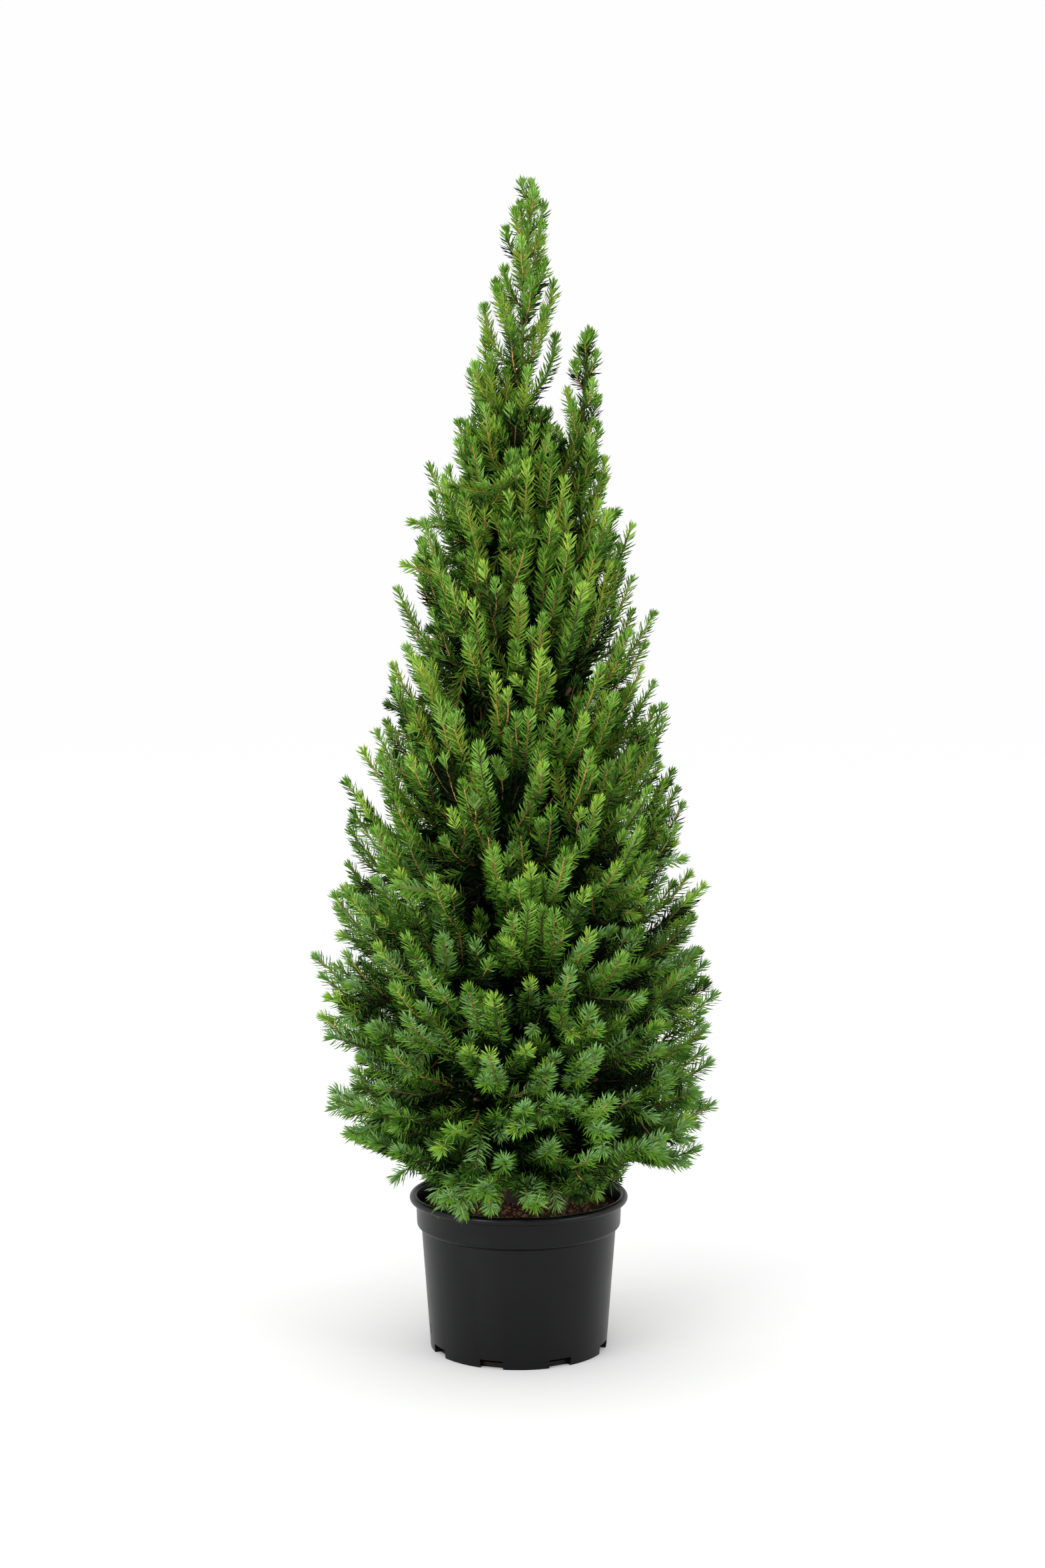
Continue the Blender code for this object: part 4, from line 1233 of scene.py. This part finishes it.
def inner_twigs(crown, rng):
    """Short twigs all the way up the trunk, with needles in the near-black tint of painted shade, which close
    the view through the crown.
    """
    height = rng.uniform(*INNER_HEIGHTS, INNER_TWIGS)
    azimuth = rng.uniform(0.0, 360.0, INNER_TWIGS)
    ends = branch_reach(height, azimuth) * rng.uniform(*INNER_REACH, INNER_TWIGS)
    shares = shares_of(SIDE_POINTS)[None]
    radius = between(trunk_radius(height)[:, None], ends[:, None], shares)
    paths = polar(radius, azimuth[:, None], branch_height(height[:, None], radius))
    twigs = twig_arrays(paths, crown.twig_radius * 1.5, crown.twig_radius, BROWN, 3)
    return twigs, needle_arrays(paths, needle_sizes(crown, *NEEDLES_AT_TRUNK), PAINTED_SHADE_TINT, PAINTED_SHADE_TINT, rng)


def rim_shoots():
    """Shoots of the skirt that bend down towards the front rim."""
    azimuth, reach, tip = (np.array(column)[:, None] for column in zip(*RIM_SHOOTS, strict=True))
    shares = shares_of(AXIS_POINTS)[None]
    radius = between(RIM_SHOOT_FOOT[0], reach, shares)
    return polar(radius, azimuth, between(RIM_SHOOT_FOOT[1], tip, shares**1.5))


def dry_sprig(crown, rng):
    """A thin dead twig that arches over and ends in a brown tuft."""
    start, end, length = np.array(DRY_SPRIG[0]), np.array(DRY_SPRIG[1]), DRY_SPRIG[2]
    shares = shares_of(SIDE_POINTS)[:, None]
    arch = np.concatenate([np.sin(shares * np.pi / 2), shares, shares**1.6], axis=1)
    path = (start + (end - start) * arch)[None]
    thick, dry = crown.twig_radius * 0.6, NEEDLE_TINTS.index("dry")
    sizes = (crown.needle_spacing * 1.6, length, crown.needle_width)
    return twig_arrays(path, thick, thick, BROWN, 3), needle_arrays(path, sizes, dry, dry, rng, bare=0.75)


def clothed(paths, thick, crown, rng, multiples=()):
    """Twigs and needles along unshaded shoots, with the needles' sizes as multiples of the usual."""
    height = paths[:, -1, 2]
    twigs = twig_arrays(paths, thick, crown.twig_radius * 0.6, dealt_twigs(rng, height), old=0.3)
    return twigs, dressed(paths, height, 0.0, crown, rng, multiples)


def stem_path(tier, number):
    """The stem of a mass, from its bough's tip or the trunk, along the rule."""
    leaves_at, middle, _, starts, ends, edge = sector_stem(tier, number)
    radius = np.linspace(starts, ends, SIDE_POINTS)
    points = polar(radius, middle, branch_height(leaves_at, radius))
    if not tier.has_bough:
        points[0] = trunk_centre(leaves_at) + polar(edge, middle, 0.0)
    return points


def settle_foliage(context, title, twigs, needles, *nodes):
    """Joins twigs in one piece, and in another the needles, which stand for the masses of foliage."""
    finishes = tint_finishes(context, "Needles", NEEDLE_TINTS, NEEDLE_SHEEN)
    twig_finishes = tint_finishes(context, "Twigs", TWIG_TINTS, TWIG_SHEEN)
    piece = mesh_piece(f"{title}_twigs", *stacked(twigs), twig_finishes)
    settle(piece, f"{title}_twigs", None, slot="bark")
    piece = mesh_piece(f"{title}_needles", *stacked(needles), finishes)
    settle(piece, f"{title}_needles", None, *nodes, slot="needles")


def build_tier(context, tier):
    crown = context.scene.spruce_crown
    rng = np.random.default_rng([crown.seed, TIERS.index(tier)])
    twigs, needles = [], []
    for number in range(tier.masses):
        stem = stem_path(tier, number)[None]
        twigs.append(twig_arrays(stem, BOUGH_TIP_RADIUS, STEM_TIP_RADIUS, BROWN, 6))
        more_twigs, more_needles = grow(*main_axes(tier, number, rng), crown, rng)
        twigs += more_twigs
        needles += more_needles
    if tier.title == "skirt":
        drooping = clothed(rim_shoots(), crown.twig_radius, crown, rng)
        for more_twigs, more_needles in (drooping, dry_sprig(crown, rng)):
            twigs.append(more_twigs)
            needles.append(more_needles)
    nodes = [f"{tier.title}_foliage_{number + 1}" for number in range(tier.masses)]
    settle_foliage(context, tier.title, twigs, needles, *nodes)


def leader_axes(foot, tip, shoots, longest, rng):
    """An upright leader, with shoots that fork off it by the golden angle and turn up beside it."""
    foot, tip = np.array(foot), np.array(tip)
    along = shares_of(AXIS_POINTS)[:, None]
    main = foot * (1 - along) + tip * along
    order = np.arange(shoots)
    share = LEADER_SHOOTS_END * order / (shoots - 1)
    start = foot + (tip - foot) * share[:, None]
    azimuth = order * GOLDEN_ANGLE + rng.uniform(-LEADER_STRAY, LEADER_STRAY, shoots)
    long = longest * between(1.0, LEADER_SHORTEST, share / LEADER_SHOOTS_END)
    lean = np.radians(between(*LEADER_LEAN, along[None]))
    way = polar(1.0, azimuth, 0.0)[:, None] * np.sin(lean) + UP * np.cos(lean)
    return main[None], walked(start, way, long * rng.uniform(0.8, 1.1, shoots))


def build_leaders(context):
    crown = context.scene.spruce_crown
    rng = np.random.default_rng([crown.seed, LEADER_SEED])
    parts = [inner_twigs(crown, rng)]
    leader = (trunk_centre(LEADER_FOOT), LEADER_TIP, *LEADER_SHOOTS)
    rival = (RIVAL_FOOT, RIVAL_TIP, *RIVAL_SHOOTS)
    for course in (leader, rival):
        main, sides = leader_axes(*course, rng)
        parts.append(clothed(main, TRUNK_TIP_RADIUS, crown, rng, NEEDLES_OF_LEADERS))
        parts.append(clothed(sides, crown.twig_radius * 1.4, crown, rng, NEEDLES_OF_LEADERS))
    twigs, needles = zip(*parts, strict=True)
    settle_foliage(context, "leader", twigs, needles, "leader_foliage", "rival_leader_foliage")


# Stage


def soft_light(name, place, aim, size, power):
    light = bpy.data.lights.new(name, "AREA")
    light.shape = "RECTANGLE"
    light.size, light.size_y = size
    light.energy = power
    lamp = add_object(name, light)
    lamp.location = place
    lamp.rotation_euler = (Vector(aim) - Vector(place)).to_track_quat("-Z", "Y").to_euler()


def build_stage(context):
    scene = context.scene
    bpy.ops.mesh.primitive_plane_add(size=FLOOR_SIZE, location=(0, FLOOR_BACK, 0))
    floor = bpy.context.object
    floor.name = "studio_floor"
    floor.data.materials.append(plain_finish("Pale Floor", WHITE, 1.0, 0.0))
    world = bpy.data.worlds.new("Studio")
    world.use_nodes = True
    sky = world.node_tree.nodes["Background"]
    sky.inputs["Color"].default_value = (*WHITE, 1.0)
    sky.inputs["Strength"].default_value = WORLD_STRENGTH
    scene.world = world
    for light in LIGHTS:
        soft_light(*light)
    camera = bpy.data.cameras.new("camera")
    camera.lens = CAMERA_LENS
    camera.sensor_width = 36.0
    camera.sensor_fit = "AUTO"
    view = add_object("camera", camera)
    view.location = CAMERA_PLACE
    view.rotation_euler = (math.radians(90.0 - CAMERA_PITCH), 0.0, 0.0)
    scene.camera = view
    scene.view_settings.view_transform = "Standard"


# Operators


class SPRUCE_OT_pot(Operator):
    """Model the round nursery pot with its rolled rim, collar and notched foot"""

    bl_idname = "spruce.pot"
    bl_label = "Nursery Pot"

    def execute(self, context):
        build_pot(context)
        return {"FINISHED"}


class SPRUCE_OT_mix(Operator):
    """Model the potting mix with its lumps and loose bark chips"""

    bl_idname = "spruce.mix"
    bl_label = "Potting Mix"

    def execute(self, context):
        mix_surface(context)
        mix_chips(context)
        return {"FINISHED"}


class SPRUCE_OT_bark(Operator):
    """Model the trunk and the boughs with the relief of their bark"""

    bl_idname = "spruce.bark"
    bl_label = "Trunk and Boughs"

    def execute(self, context):
        build_bark(context)
        return {"FINISHED"}


class SPRUCE_OT_foliage(Operator):
    """Grow the twigs and needles of every tier of the crown"""

    bl_idname = "spruce.foliage"
    bl_label = "Twigs and Needles"

    def execute(self, context):
        for tier in TIERS:
            build_tier(context, tier)
        return {"FINISHED"}


class SPRUCE_OT_leaders(Operator):
    """Grow the leader and the upright shoot that rivals it"""

    bl_idname = "spruce.leaders"
    bl_label = "Leaders"

    def execute(self, context):
        build_leaders(context)
        return {"FINISHED"}


class SPRUCE_OT_stage(Operator):
    """Set up the pale floor, the soft lights and the camera"""

    bl_idname = "spruce.stage"
    bl_label = "Stage"

    def execute(self, context):
        build_stage(context)
        return {"FINISHED"}


class SPRUCE_PT_panel(Panel):
    """Lists the pieces of the potted spruce"""

    bl_idname = "SPRUCE_PT_panel"
    bl_label = "Potted Spruce"
    bl_space_type = "VIEW_3D"
    bl_region_type = "UI"
    bl_category = "Spruce"

    def draw(self, context):
        layout = self.layout
        for title, group in GROUPS.items():
            box = layout.box()
            for name in group.__annotations__:
                box.prop(getattr(context.scene, title), name)
        for operator in OPERATORS:
            layout.operator(operator.bl_idname)


OPERATORS = (
    SPRUCE_OT_pot,
    SPRUCE_OT_mix,
    SPRUCE_OT_bark,
    SPRUCE_OT_foliage,
    SPRUCE_OT_leaders,
    SPRUCE_OT_stage,
)
GROUPS = {"spruce_crown": SpruceCrown, "spruce_colours": SpruceColours, "spruce_pot": SprucePotSizes}
CLASSES = (*GROUPS.values(), *OPERATORS, SPRUCE_PT_panel)


def register():
    for cls in CLASSES:
        bpy.utils.register_class(cls)
    for name, group in GROUPS.items():
        setattr(bpy.types.Scene, name, PointerProperty(type=group))


def unregister():
    for name in GROUPS:
        delattr(bpy.types.Scene, name)
    for cls in reversed(CLASSES):
        bpy.utils.unregister_class(cls)


def main():
    register()
    bpy.ops.spruce.pot()
    bpy.ops.spruce.mix()
    bpy.ops.spruce.bark()
    bpy.ops.spruce.foliage()
    bpy.ops.spruce.leaders()
    bpy.ops.spruce.stage()
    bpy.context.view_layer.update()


if __name__ == "__main__":
    main()
